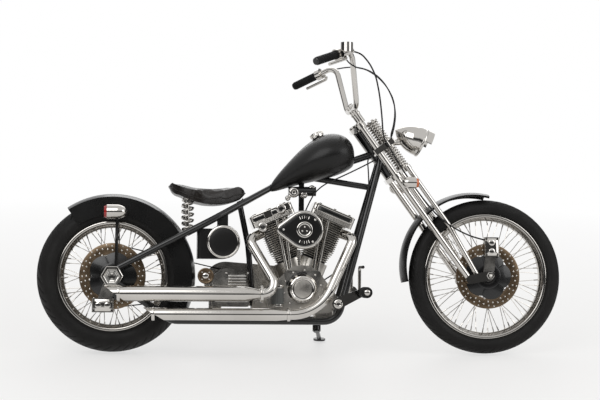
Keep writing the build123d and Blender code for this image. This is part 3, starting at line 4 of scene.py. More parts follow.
import bmesh
import bpy
import numpy as np
from bpy.props import FloatProperty, FloatVectorProperty, PointerProperty
from bpy.types import NodeSocket, Operator, Panel, PropertyGroup
from mathutils import Matrix, Vector


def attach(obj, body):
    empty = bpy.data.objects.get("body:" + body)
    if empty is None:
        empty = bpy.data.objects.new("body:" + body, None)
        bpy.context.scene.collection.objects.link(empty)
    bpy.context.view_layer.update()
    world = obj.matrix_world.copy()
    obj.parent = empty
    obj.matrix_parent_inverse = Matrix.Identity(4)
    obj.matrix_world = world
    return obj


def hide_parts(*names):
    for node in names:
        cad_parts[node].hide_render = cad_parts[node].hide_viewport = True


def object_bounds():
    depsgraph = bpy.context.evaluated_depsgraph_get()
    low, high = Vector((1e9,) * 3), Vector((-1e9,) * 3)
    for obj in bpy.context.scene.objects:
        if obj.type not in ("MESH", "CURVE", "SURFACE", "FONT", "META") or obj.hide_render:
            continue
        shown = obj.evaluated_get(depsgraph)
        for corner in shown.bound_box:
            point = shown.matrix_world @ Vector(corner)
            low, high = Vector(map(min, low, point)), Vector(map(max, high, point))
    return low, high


bl_info = {
    "name": "Bobber Motorcycle",
    "version": (1, 0, 0),
    "blender": (4, 5, 0),
    "location": "3D View > Sidebar > Bobber",
    "description": "Dresses a rigid-frame bobber: tyres, wire wheels, springs, saddle, engine detail and finishes",
    "category": "Object",
}

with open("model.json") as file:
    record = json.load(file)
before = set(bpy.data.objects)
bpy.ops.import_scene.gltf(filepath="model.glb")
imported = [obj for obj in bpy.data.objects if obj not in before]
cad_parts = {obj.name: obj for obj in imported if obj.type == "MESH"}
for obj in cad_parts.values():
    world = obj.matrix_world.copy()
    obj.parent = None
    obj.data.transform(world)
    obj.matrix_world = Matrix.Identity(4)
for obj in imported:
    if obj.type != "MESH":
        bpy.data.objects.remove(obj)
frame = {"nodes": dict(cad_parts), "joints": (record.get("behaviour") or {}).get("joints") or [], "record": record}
CAD_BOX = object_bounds()
NODES = frame["nodes"]
MM = 0.001
REAR_RADIUS = 336.0
CRANK = (838.0, 285.0)      # forward and up from the ground under the rear axle


# Places: sets of axes, read from the joints, in which the machine is upright and straight

def unit(vector):
    return np.asarray(vector, float) / np.linalg.norm(vector)


class Place:
    """An origin and three axes, for points given in millimetres."""

    def __init__(self, origin, x_axis, y_axis, z_axis):
        self.origin = np.array(origin, float)
        self.axes = np.array([x_axis, y_axis, z_axis], float)

    def __call__(self, points):
        """Points in this place's axes, in millimetres, as points of the frame in metres."""
        return self.origin + np.asarray(points, float) * MM @ self.axes

    def turn(self, vectors):
        """Directions in this place's axes as directions of the frame."""
        return np.asarray(vectors, float) @ self.axes

    def local(self, points):
        """Points of the frame in metres as millimetres in this place's axes."""
        return (np.asarray(points, float) - self.origin) @ self.axes.T / MM

    def moved(self, point, x_axis=(1, 0, 0), z_axis=(0, 0, 1)):
        """A place at a point of this one, with its z axis, and then its x axis, turned as given."""
        z, x = unit(self.turn(z_axis)), self.turn(x_axis)
        x = unit(x - z * (x @ z))
        return Place(self(point), x, np.cross(z, x), z)

    def facing(self, point, way, ahead=1):
        """A place that faces along the y axis (way 1, left) or against it (-1, right), its x forward or back."""
        return self.moved(point, (ahead, 0, 0), (0, way, 0))


def joint(name):
    return next(j for j in frame["joints"] if j["name"] == name)


def wheel_place(name):
    """At a wheel's middle: x level and forward, y along its axle to the left."""
    axle = unit(joint(name)["axis"])
    ahead = unit(np.cross(axle, (0, 0, 1)))
    return Place(joint(name)["pos_m"], ahead, axle, np.cross(ahead, axle))


REAR_WHEEL, FRONT_WHEEL = wheel_place("rear_wheel_spin"), wheel_place("front_wheel_spin")
UPRIGHT = Place(REAR_WHEEL((0, 0, -REAR_RADIUS)), *REAR_WHEEL.axes)
steer = unit(joint("steering")["axis"])
FORK = Place(joint("steering")["pos_m"], np.cross(FRONT_WHEEL.axes[1], steer), FRONT_WHEEL.axes[1], steer)


def side(x, y, z):
    """A place on the machine's right side that faces right: its x runs forward and its y up."""
    return UPRIGHT.facing((x, y, z), -1)


def bank(lean):
    """A cylinder's place: at the crank, its z up the barrel, its y to the left."""
    return UPRIGHT.moved((CRANK[0], 0, CRANK[1]), z_axis=(sin(radians(lean)), 0, cos(radians(lean))))


def flank(lean, x, z):
    """A place on the right face of a rocker box: x along the box, y up the cylinder, facing right."""
    return bank(lean).facing((x, -94.0, z), -1)


# Outlines and profiles in millimetres

def around(count):
    """Angles evenly round a circle."""
    return np.linspace(0, 2 * pi, count, endpoint=False)


def polar(radius, angle, *height):
    """Points at a radius and an angle, and at a height if one is given."""
    return np.stack(np.broadcast_arrays(radius * np.cos(angle), radius * np.sin(angle), *height), -1)


def circle(radius, sides):
    return polar(radius, around(sides))


def round_table(radius, count, phase, height=0.0):
    """Points evenly round a circle at a height, the first at an angle in degrees."""
    return polar(radius, around(count) + radians(phase), height)


def round_corners(points, radius, steps=5, closed=True):
    """Each corner of a path replaced by a quadratic curve between points at most a radius away from it."""
    points = np.asarray(points, float)
    before, after = np.roll(points, 1, 0) - points, np.roll(points, -1, 0) - points
    long_before, long_after = (np.linalg.norm(v, axis=1)[:, None] for v in (before, after))
    reach = np.minimum(radius, 0.48 * np.minimum(long_before, long_after))
    start, end = points + before / long_before * reach, points + after / long_after * reach
    t = np.linspace(0, 1, steps)[None, :, None]
    curves = (1 - t) ** 2 * start[:, None] + 2 * t * (1 - t) * points[:, None] + t ** 2 * end[:, None]
    if closed:
        return curves.reshape(-1, 2)
    return np.vstack([points[:1], curves[1:-1].reshape(-1, 2), points[-1:]])


def corners(x, y, *height):
    """The four corners of a rectangle, at a height if one is given."""
    return np.array([(x * across, y * up, *height) for up in (-1, 1) for across in (-1, 1)], float)


def rounded(half_x, half_y, corner, steps=6):
    """Rectangle with round corners, anticlockwise."""
    return round_corners(corners(half_x, half_y)[[1, 3, 2, 0]], corner, steps)


def teardrop(x0, r0, x1, r1, count):
    """Outline round two circles on a line, anticlockwise, the larger at x0 and the smaller to its rear at x1."""
    lean = np.arccos((r0 - r1) / (x1 - x0))
    big = polar(r0, np.linspace(-lean, lean, count)) + [x0, 0]
    small = polar(r1, np.linspace(lean, 2 * pi - lean, count // 2)) + [x1, 0]
    return np.vstack([big, small])


def mirrored(half, *middle):
    """A section from one half, given from its end inwards, and the points between it and its mirror image."""
    half = np.asarray(half, float)
    return np.vstack([half * [1, -1], *middle, half[::-1]])


def slab(height, edge=1.5, low=0.0):
    """Profile of a flat plate with a rounded upper edge, as (inset, height)."""
    return [(0, low), (0, height - edge), (edge * 0.3, height - edge * 0.3), (edge, height)]


def dome(radius, height):
    """Profile of a round head, as (radius, height)."""
    t = np.linspace(0, pi / 2, 6)
    return np.vstack([[(0, 0), (radius, 0)], np.stack([radius * np.cos(t), height * (0.35 + 0.65 * np.sin(t))], -1)])


def nut(radius, height):
    """Profile of a hexagon head with a chamfered top, for six segments."""
    return [(0, 0), (radius, 0), (radius, height * 0.82), (radius * 0.88, height), (0, height)]


def cylinder(radius, low, high):
    """Profile of a closed cylinder."""
    return [(0, low), (radius, low), (radius, high), (0, high)]


def ribbed(radius, rise, middles, top, foot):
    """Profile of ribs on a radius: each is flat as far as `top` to both sides of its middle and ends at `foot`."""
    rows = middles[:, None] + [-foot, -top, top, foot]
    return np.stack([radius + np.tile([0.0, rise, rise, 0.0], len(middles)), rows.ravel()], -1)


def smooth_step(value, low, high):
    t = np.clip((value - low) / (high - low), 0, 1)
    return t * t * (3 - 2 * t)


# Meshes from arrays

def rows_of(items, name):
    """An attribute of a mesh's points as an array of rows."""
    flat = np.empty(len(items) * 3)
    items.foreach_get(name, flat)
    return flat.reshape(-1, 3)


def positions(mesh):
    return rows_of(mesh.vertices, "co")


def extent(node, place):
    """Lowest and highest corner of a CAD node in a place's axes, in millimetres."""
    local = place.local(positions(NODES[node].data))
    return local.min(0), local.max(0)


def grid_faces(rows, columns, wrap_rows=False, wrap_columns=True):
    """Quads of a grid of points numbered row by row, closed on itself where a direction wraps."""
    r = np.arange(rows if wrap_rows else rows - 1)[:, None]
    c = np.arange(columns if wrap_columns else columns - 1)[None, :]
    r2, c2 = (r + 1) % rows, (c + 1) % columns
    quads = [r * columns + c, r2 * columns + c, r2 * columns + c2, r * columns + c2]
    return np.stack(np.broadcast_arrays(*quads), -1).reshape(-1, 4)


def weld(piece, distance=1e-6):
    """Merges doubled points, drops the faces that close up at a pole and turns all faces outwards."""
    made = bmesh.new()
    made.from_mesh(piece.data)
    bmesh.ops.remove_doubles(made, verts=made.verts, dist=distance)
    bmesh.ops.dissolve_degenerate(made, edges=made.edges, dist=distance / 10)
    bmesh.ops.recalc_face_normals(made, faces=made.faces)
    made.to_mesh(piece.data)
    made.free()


def link_mesh(name, points, quads):
    """A new object of the scene from arrays of points in metres and of faces."""
    mesh = bpy.data.meshes.new(name)
    mesh.from_pydata(points, [], quads.tolist())
    mesh.validate()
    made = bpy.data.objects.new(name, mesh)
    bpy.context.scene.collection.objects.link(made)
    return made


def dress(piece, material, body, replaces=()):
    """Gives a piece its finish and its slot, and lets it ride on a body and stand for CAD nodes."""
    piece.data.materials.clear()
    piece.data.materials.append(bpy.data.materials[FINISH + material])
    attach(piece, body)
    if replaces:
        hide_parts(*replaces)


class Shape:
    """Points in metres and faces, gathered from several surfaces."""

    def __init__(self):
        self.points = np.empty((0, 3))
        self.quads = np.empty((0, 4), int)

    def add(self, points, quads, copies=1):
        """Joins a surface, or copies that follow each other, numbered after the points that are there."""
        points = np.asarray(points, float).reshape(-1, 3)
        first = len(self.points) + np.arange(copies)[:, None, None] * (len(points) // copies)
        self.quads = np.vstack([self.quads, (quads[None] + first).reshape(-1, 4)])
        self.points = np.vstack([self.points, points])
        return self

    def studs(self, place, centres, profile, segments=12):
        """(radius, height) points turned about a place's z axis, (r cos t, r sin t, h), at each (x, y, z)."""
        centres, profile = np.asarray(centres, float), np.asarray(profile, float)
        local = polar(profile[:, :1], around(segments), profile[:, 1:])
        return self.add(place(centres[:, None, None] + local[None]), grid_faces(len(profile), segments), len(centres))

    def lathe(self, place, profile, segments=40, corner=0.0, steps=4, ring=False):
        """One turned profile. Its corners are rounded by a radius, and a ring's profile closes on itself."""
        if corner:
            profile = round_corners(profile, corner, steps, ring)
        if ring:
            profile = np.vstack([profile, profile[:1]])
        return self.studs(place, [(0, 0, 0)], profile, segments)

    def tube(self, points, radius, sides=8, closed=False):
        """Circles of a radius in millimetres, square to a path in metres and joined from point to point.

        The circles' first direction is carried along the path by removing its part along each new tangent."""
        path = np.asarray(points, float)
        ahead = np.roll(path, -1, 0) - np.roll(path, 1, 0)
        if not closed:
            ahead[0], ahead[-1] = path[1] - path[0], path[-1] - path[-2]
        ahead /= np.linalg.norm(ahead, axis=1)[:, None]
        carried = [unit(np.cross(ahead[0], (0, 0, 1) if abs(ahead[0][2]) < 0.9 else (1, 0, 0)))]
        for tangent in ahead[1:]:
            carried.append(unit(carried[-1] - tangent * (carried[-1] @ tangent)))
        x = np.array(carried)
        t = around(sides)[:, None]
        points = path[:, None] + (x[:, None] * np.cos(t) + np.cross(ahead, x)[:, None] * np.sin(t)) * radius * MM
        if not closed:
            ends = np.broadcast_to(path[[0, -1], None], (2, sides, 3))
            points = np.concatenate([ends[:1], points, ends[1:]])
        return self.add(points, grid_faces(len(points), sides, closed))

    def plate(self, place, outline, profile):
        """Loops of an outline, each drawn in along its normals by an inset and raised to a height, closed at
        the middle of the outline at both ends. The outline runs anticlockwise."""
        outline, profile = np.asarray(outline, float), np.asarray(profile, float)
        ahead = np.roll(outline, -1, 0) - np.roll(outline, 1, 0)
        outward = np.stack([ahead[:, 1], -ahead[:, 0]], -1) / np.linalg.norm(ahead, axis=1)[:, None]
        flat = outline[None] - outward[None] * profile[:, 0][:, None, None]
        middle = np.broadcast_to(outline.mean(0), (1,) + outline.shape)
        flat = np.concatenate([middle, flat, middle])
        height = np.concatenate([profile[:1, 1], profile[:, 1], profile[-1:, 1]])
        height = np.broadcast_to(height[:, None, None], flat.shape[:2] + (1,))
        return self.add(place(np.concatenate([flat, height], -1)), grid_faces(len(flat), len(outline)))

    def rods(self, starts, ends, radii, sides=8):
        """Straight round rods between rows of points in metres, with closed ends, all at once."""
        along = (ends - starts) / np.linalg.norm(ends - starts, axis=1)[:, None]
        other = np.where(np.abs(along[:, 2:]) < 0.9, (0.0, 0.0, 1.0), (1.0, 0.0, 0.0))
        x = np.cross(along, other)
        x /= np.linalg.norm(x, axis=1)[:, None]
        t = around(sides)[:, None]
        ring = x[:, None] * np.cos(t) + np.cross(along, x)[:, None] * np.sin(t)
        first, last = np.broadcast_to(np.asarray(radii, float), 2) * MM
        loops = [starts[:, None] + 0 * ring, starts[:, None] + ring * first,
                 ends[:, None] + ring * last, ends[:, None] + 0 * ring]
        return self.add(np.stack(loops, 1), grid_faces(4, sides), len(starts))

    def piece(self, name, material="chrome", body="chassis", replaces=(), angle=32.0):
        """The gathered surfaces as one piece, crisp where its faces meet at more than an angle in degrees."""
        made = link_mesh(name, self.points, self.quads)
        dress(made, material, body, replaces)
        weld(made)
        made.data.shade_smooth()
        made.data.set_sharp_from_angle(angle=radians(angle))


# Finishes

FINISH = "finish_"      # the scene's own materials, beside those that come with the CAD nodes


def node(tree, kind, inputs=(), **settings):
    """A shader node with its settings, and with its inputs set to values or linked to sockets."""
    made = tree.nodes.new("ShaderNode" + kind)
    for name, value in settings.items():
        setattr(made, name, value)
    for name, value in dict(inputs).items():
        plug(tree, value, made.inputs[name])
    return made


def plug(tree, value, socket):
    if isinstance(value, NodeSocket):
        tree.links.new(value, socket)
    else:
        socket.default_value = value


def combine(tree, operation, first, second):
    """The value of a math node of two values."""
    return node(tree, "Math", {0: first, 1: second}, operation=operation).outputs["Value"]


def group(name, inputs, output):
    """A shader node group with named float sockets: its tree, its inputs' sockets and its output's."""
    tree = bpy.data.node_groups.new(name, "ShaderNodeTree")
    for label, default in inputs.items():
        tree.interface.new_socket(label, in_out="INPUT", socket_type="NodeSocketFloat").default_value = default
    tree.interface.new_socket(output, in_out="OUTPUT", socket_type="NodeSocketFloat")
    return tree, tree.nodes.new("NodeGroupInput").outputs, tree.nodes.new("NodeGroupOutput").inputs[output]


def mottle_group():
    """Soft patches from noise of the object's own coordinates, moved to a range of values."""
    tree, given, value = group("Mottle", {"Scale": 20.0, "Detail": 4.0, "Low": 0.0, "High": 1.0}, "Value")
    place = node(tree, "TexCoord").outputs["Object"]
    noise = node(tree, "TexNoise", {"Vector": place, "Scale": given["Scale"], "Detail": given["Detail"]})
    spread = node(tree, "MapRange", {"From Min": 0.3, "From Max": 0.7, "Value": noise.outputs["Fac"],
                                     "To Min": given["Low"], "To Max": given["High"]})
    tree.links.new(spread.outputs["Result"], value)


def grain_group():
    """Fine height from noise and cells, for cast metal, leather and rubber."""
    tree, given, height = group("Grain", {"Noise Scale": 900.0, "Cell Scale": 600.0, "Cell Share": 0.0}, "Height")
    place = node(tree, "TexCoord").outputs["Object"]
    noise = node(tree, "TexNoise", {"Vector": place, "Scale": given["Noise Scale"], "Detail": 3.0})
    cells = node(tree, "TexVoronoi", {"Vector": place, "Scale": given["Cell Scale"]})
    blend = node(tree, "Mix", {"Factor": given["Cell Share"], "A": noise.outputs["Fac"],
                               "B": cells.outputs["Distance"]})
    tree.links.new(blend.outputs["Result"], height)


def grouped(tree, name, inputs):
    """A node that shows one of the groups."""
    made = tree.nodes.new("ShaderNodeGroup")
    made.node_tree = bpy.data.node_groups[name]
    for label, value in inputs.items():
        made.inputs[label].default_value = value
    return made.outputs[0]


def new_material(name):
    """A material with nodes: itself, its tree and its main shader."""
    material = bpy.data.materials.new(name)
    material.use_nodes = True
    return material, material.node_tree, material.node_tree.nodes["Principled BSDF"]


def finish(name, colour, tint, roughness, scale, inputs, grain=None):
    """A material whose roughness lies between two values by mottle, as its colour does if there is a tint, with
    grain as bump: its noise scale, cell scale, cell share, strength and distance in metres."""
    material, tree, shader = new_material(FINISH + name)
    rough = grouped(tree, "Mottle", {"Scale": scale, "Low": roughness[0], "High": roughness[1]})
    values = {"Base Color": (*colour, 1), "IOR": GLASS_IOR, "Roughness": rough, **inputs}
    if tint:
        patch = grouped(tree, "Mottle", {"Scale": scale * PATCH_SHARE})
        mix = node(tree, "Mix", {"Factor": patch, "A": (*colour, 1), "B": (*tint, 1)}, data_type="RGBA")
        values["Base Color"] = mix.outputs["Result"]
    if grain:
        *texture, strength, distance = grain
        height = grouped(tree, "Grain", dict(zip(("Noise Scale", "Cell Scale", "Cell Share"), texture)))
        bump = node(tree, "Bump", {"Strength": strength, "Distance": distance, "Height": height})
        values["Normal"] = bump.outputs["Normal"]
    for label, value in values.items():
        plug(tree, value, shader.inputs[label])
    return material


GLASS_IOR = 1.45
PATCH_SHARE = 0.4           # colour patches are this much coarser than those of the roughness
METAL = {"Metallic": 1.0}
LENS = {"Coat Weight": 0.6}


def gloss(specular, coat=0.0, coat_roughness=0.03):
    return {"Specular IOR Level": specular, "Coat Weight": coat, "Coat Roughness": coat_roughness}


FINISHES = {    # colour, tint of its patches, roughness from and to, scale of the patches, shader inputs, grain
    "chrome": ((0.62, 0.60, 0.57), (0.53, 0.51, 0.48), (0.04, 0.10), 14.0, METAL),
    "wheel_chrome": ((0.52, 0.50, 0.47), (0.42, 0.40, 0.375), (0.06, 0.14), 18.0, METAL),
    "tyre_rubber": ((0.0065, 0.0062, 0.006), (0.012, 0.0115, 0.011), (0.5, 0.7), 18.0, gloss(0.22),
                    (500.0, 900.0, 0.3, 0.25, 0.0004)),
    "frame_black": ((0.004, 0.004, 0.0042), (0.007, 0.007, 0.007), (0.18, 0.26), 20.0, gloss(0.45, 0.35, 0.05)),
    "fender_black": ((0.004, 0.004, 0.004), (0.007, 0.0068, 0.0066), (0.24, 0.32), 10.0, gloss(0.28, 0.12, 0.10)),
    "tank_black": ((0.005, 0.0048, 0.0048), (0.009, 0.0088, 0.0086), (0.32, 0.40), 8.0, gloss(0.28, 0.12, 0.2)),
    "disc_steel": ((0.20, 0.145, 0.095), (0.12, 0.085, 0.055), (0.26, 0.38), 40.0, METAL),
    "engine_alloy": ((0.62, 0.60, 0.565), (0.46, 0.44, 0.41), (0.14, 0.26), 26.0, METAL),
    "case_alloy": ((0.58, 0.555, 0.515), (0.40, 0.38, 0.35), (0.24, 0.38), 30.0, METAL,
                   (700.0, 900.0, 0.2, 0.15, 0.0003)),
    "belt_rubber": ((0.007, 0.007, 0.007), (0.011, 0.011, 0.011), (0.6, 0.7), 30.0, gloss(0.25)),
    "grip_rubber": ((0.006, 0.006, 0.006), (0.010, 0.010, 0.010), (0.5, 0.62), 60.0, gloss(0.25),
                    (900.0, 800.0, 0.3, 0.2, 0.0003)),
    "filter_grey": ((0.13, 0.135, 0.13), (0.10, 0.104, 0.10), (0.3, 0.4), 30.0, gloss(0.5, 0.3)),
    "saddle_leather": ((0.011, 0.0075, 0.0055), (0.006, 0.0042, 0.0032), (0.24, 0.40), 24.0, gloss(0.45),
                       (260.0, 420.0, 0.75, 0.35, 0.0006)),
    "lens_red": ((0.36, 0.006, 0.005), (0.28, 0.004, 0.004), (0.08, 0.12), 30.0, LENS),
    "lens_amber": ((0.62, 0.13, 0.01), (0.50, 0.10, 0.008), (0.08, 0.12), 30.0, LENS),
    "lens_clear": ((0.92, 0.92, 0.90), None, (0.03, 0.06), 30.0, {"Transmission Weight": 1.0}),
    "hose_black": ((0.007, 0.007, 0.0075), (0.011, 0.011, 0.011), (0.35, 0.5), 40.0, gloss(0.35)),
}


class BOBBER_OT_finishes(Operator):
    """Make the materials and give each CAD node the one of its slot"""
    bl_idname = "bobber.finishes"
    bl_label = "Finishes"

    def execute(self, context):
        mottle_group()
        grain_group()
        made = {name: finish(name, *values) for name, values in FINISHES.items()}
        for entry in frame["record"]["subparts"]:
            cad = NODES[entry["node"]].data
            cad.materials.clear()
            cad.materials.append(made[entry["material_slot"]])
        return {"FINISHED"}


# Wheels

WHEELS = {
    "rear": dict(place=REAR_WHEEL, body="rear_wheel", radius=REAR_RADIUS, crown_r=104.0, crown_angle=46.0,
                 rim_r=242.5, rim_half=66.0, hub_r=36.0, flange_r=54.0, flange_y=48.0, hub_half=80.0, tread=4.2,
                 blocks=48, disc_y=86.0),
    "front": dict(place=FRONT_WHEEL, body="front_wheel", radius=347.5, crown_r=50.0, crown_angle=52.0, rim_r=280.5,
                  rim_half=27.0, hub_r=26.0, flange_r=40.0, flange_y=34.0, hub_half=62.0, tread=3.0, blocks=60,
                  disc_y=68.0),
}
BEAD_DEPTH = 7.0
RIM_DEPTH = 28.0
AXLE_BORE = 10.6
CROWN_POINTS, WALL_POINTS, TURNS_A_BLOCK = 53, 21, 14
SPOKES, SPOKE_SWEEP = 60, radians(58.0)
DISC_RING = [(98, -2.5), (146, -2.5), (146, 2.5), (98, 2.5)]
DISC_DOTS, DOT_ROWS = 60, 5
CALIPERS = (        # node, wheel's place, body, middle forward and up of the axle, half width and half height
    ("front_caliper", FRONT_WHEEL, "fork", 16.0, 130.5, 34.0, 44.0),
    ("rear_caliper", REAR_WHEEL, "chassis", -40.0, -128.0, 48.0, 31.0),
)


def about_axle(wheel):
    """The wheel's place turned so that its z runs along the axle, to the left."""
    return wheel["place"].facing((0, 0, 0), 1)


def arc_between(start, tangent, end, count):
    """Points of the arc that leaves a point along a tangent and reaches another point."""
    start, tangent, end = (np.asarray(v, float) for v in (start, tangent, end))
    normal = np.array([-tangent[1], tangent[0]])
    radius = (end - start) @ (end - start) / (2 * (end - start) @ normal)
    centre = start + normal * radius
    first, last = (np.arctan2(*(p - centre)[::-1]) for p in (start, end))
    sweep = (last - first + pi) % (2 * pi) - pi
    return centre + polar(abs(radius), first + np.linspace(0, 1, count) * sweep)


def tyre_shape(wheel):
    """The tyre's section (crown arc, sidewall arcs, bead) turned about the axle, its crown cut by a centre groove
    and by slanting grooves: depth = tread x (1 - step of the distance to the nearest groove)."""
    angle, crown_r = radians(wheel["crown_angle"]), wheel["crown_r"]
    crown = polar(crown_r, np.linspace(-angle, angle, CROWN_POINTS)) + [wheel["radius"] - crown_r, 0]
    wall = arc_between(crown[-1], (-sin(angle), cos(angle)), (wheel["rim_r"], wheel["rim_half"]), WALL_POINTS + 1)[1:]
    along = np.linspace(0, 1, WALL_POINTS)
    wall[:, 1] += 0.9 * (np.exp(-((along - 0.72) / 0.03) ** 2) + 0.8 * np.exp(-((along - 0.15) / 0.03) ** 2))
    outer = np.vstack([wall, (wheel["rim_r"] - BEAD_DEPTH, wheel["rim_half"])])
    section = mirrored(outer[::-1], crown)
    on_crown = slice(len(outer), len(outer) + CROWN_POINTS)
    share, edge = np.zeros((2, len(section)))
    share[on_crown] = np.linspace(-1, 1, CROWN_POINTS)
    off = np.abs(share)
    edge[on_crown] = smooth_step(1 - off[on_crown], 0.02, 0.10)
    blocks = wheel["blocks"]
    t = around(blocks * TURNS_A_BLOCK)[:, None]
    wave = (t * blocks / (2 * pi) + 1.6 * off ** 1.3 + 0.5 * (share > 0)) % 1.0
    slant = np.where((off > 0.10) & (off < 0.93), smooth_step(np.abs(wave - 0.5), 0.06, 0.14), 1.0)
    rings = smooth_step(np.abs(off - 0.06 - 0.02 * np.sin(t * blocks)), 0.012, 0.035)
    depth = wheel["tread"] * edge * (1 - np.minimum(slant, rings))
    points = about_axle(wheel)(polar(section[:, 0] - depth, t, section[:, 1]))
    return Shape().add(points, grid_faces(len(t), len(section), True))


def rim_shape(wheel):
    """Rim with two raised edges, a stepped well and its spoke bed, and the hub with two flanges, turned."""
    rim_r, hub_r, flange, y, end = (wheel[k] for k in ("rim_r", "hub_r", "flange_r", "flange_y", "hub_half"))
    seat, floor = rim_r - BEAD_DEPTH, rim_r - RIM_DEPTH
    edge, half = wheel["rim_half"] + 5.0, wheel["rim_half"] * 0.55
    rim = mirrored([(seat, edge - 5), (rim_r, edge - 5), (rim_r + 1.5, edge - 1), (rim_r - 3, edge + 1),
                    (seat - 5, edge), (seat - 9, edge - 5), (floor + 5, half + 3), (floor, half - 2)])
    rim = np.vstack([rim, [(floor + 9, half), (floor + 9, -half)]])
    hub = mirrored([(AXLE_BORE, end), (hub_r * 0.86, end), (hub_r * 0.95, y + 9), (flange - 3, y + 4),
                    (flange, y + 3), (flange, y - 3), (flange - 3, y - 4), (hub_r * 0.82, y - 12)],
                   (hub_r * 0.66, 0))
    place = about_axle(wheel)
    return Shape().lathe(place, rim, 144, 2.4, 5, True).lathe(place, hub, 64, 2.0, 4, True)


def spoke_ends(wheel):
    """Feet on the flanges and heads in the rim: spokes alternate between flanges and, in pairs, between leaning
    ahead and leaning back by the sweep."""
    n = np.arange(SPOKES)
    flange = np.where(n % 2 == 0, 1.0, -1.0)
    lean = np.where(n // 2 % 2 == 0, 1.0, -1.0)
    head = 2 * pi * (n + 0.5) / SPOKES
    feet = polar(wheel["flange_r"] - 4.0, head + lean * SPOKE_SWEEP, flange * (wheel["flange_y"] + 2 * lean))
    heads = polar(wheel["rim_r"] - RIM_DEPTH + 4.0, head, flange * wheel["rim_half"] * 0.22)
    place = about_axle(wheel)
    return place(feet), place(heads)


class BOBBER_OT_tyres(Operator):
    """Make both tyres with tread grooves and sidewall ridges"""
    bl_idname = "bobber.tyres"
    bl_label = "Tyres"

    def execute(self, context):
        for name, wheel in WHEELS.items():
            tyre_shape(wheel).piece(name + "_tyre_tread", "tyre_rubber", wheel["body"], (name + "_tyre",), 50.0)
        return {"FINISHED"}


class BOBBER_OT_wheels(Operator):
    """Make the chrome rims, the hubs, sixty crossed spokes a wheel and their nipples"""
    bl_idname = "bobber.wheels"
    bl_label = "Wire wheels"

    def execute(self, context):
        for name, wheel in WHEELS.items():
            rim_shape(wheel).piece(name + "_rim", "wheel_chrome", wheel["body"], (name + "_wheel_rim",))
            feet, heads = spoke_ends(wheel)
            spokes = Shape().rods(feet, heads, 1.7)
            spokes.rods(feet + (heads - feet) * 0.90, heads, (2.6, 3.4), 6)
            spokes.piece(name + "_spokes", "wheel_chrome", wheel["body"])
        return {"FINISHED"}


class BOBBER_OT_discs(Operator):
    """Make the brake discs with bright dots, their black carriers, rivets and bolts"""
    bl_idname = "bobber.discs"
    bl_label = "Brake discs"

    def execute(self, context):
        t = around(180)
        star = polar(90 + 17 * np.abs(np.cos(2.5 * t)) ** 0.7, t)
        n = np.arange(DISC_DOTS)
        row = n % DOT_ROWS / (DOT_ROWS - 1)
        dots = polar(114 + 24 * row, 2 * pi * n / DISC_DOTS + 0.30 * row, 2.2)
        for name, wheel in WHEELS.items():
            place, body = wheel["place"].facing((0, -wheel["disc_y"], 0), -1), wheel["body"]
            Shape().lathe(place, DISC_RING, 128, 0.8, 3, True).piece(
                name + "_disc_ring", "disc_steel", body, (name + "_disc",))
            carrier = Shape().plate(place, star, slab(3.8, 1.4, -3.6))
            carrier.lathe(place, [(58, 3.6), (58, 6.5), (34, 6.5), (30, 3.6)], 64, 1.0, 3)
            carrier.piece(name + "_disc_carrier", "frame_black", body)
            bolts = Shape().studs(place, round_table(46, 5, 18, 2.0), dome(7.5, 2.4), 20)
            bolts.studs(place, round_table(101, 10, 9, 0.5), dome(4.6, 3.0), 14)
            bolts.piece(name + "_disc_bolts", body=body)
            Shape().studs(place, dots, [(0, 0), (3.4, 0), (3.4, 0.5), (2.6, 0.9), (0, 0.9)]).piece(
                name + "_disc_dots", "engine_alloy", body)
        return {"FINISHED"}


class BOBBER_OT_calipers(Operator):
    """Make the brake calipers' face plates, piston caps and bolts over the plain ones"""
    bl_idname = "bobber.calipers"
    bl_label = "Calipers"

    def execute(self, context):
        for node_name, wheel, body, x, z, wide, tall in CALIPERS:
            low, _ = extent(node_name, wheel)
            spot = wheel.facing((x, low[1], z), -1)
            pistons = [(0, 20, 2), (0, -20, 2)] if tall > wide else [(20, 0, 2), (-20, 0, 2)]
            caps = Shape().plate(spot, rounded(wide - 5, tall - 5, 14), slab(2.6, 1.4, -1.0))
            caps.studs(spot, pistons, dome(14.0, 3.6), 32)
            caps.studs(spot, corners(wide - 9, tall - 9, 2), nut(5.0, 4.5), 6)
            caps.piece(node_name + "_caps", body=body)
        return {"FINISHED"}


# Springs

FORK_SPRING_X, FORK_SPRING_Y, FORK_COIL_R = 66, 50, 16.8
FORK_SPRINGS = ((-124.0, -12.0, 10), (18.0, 126.0, 9.5))        # foot, head, turns
SADDLE_SPRING_Y, SADDLE_TURNS = 80, 6


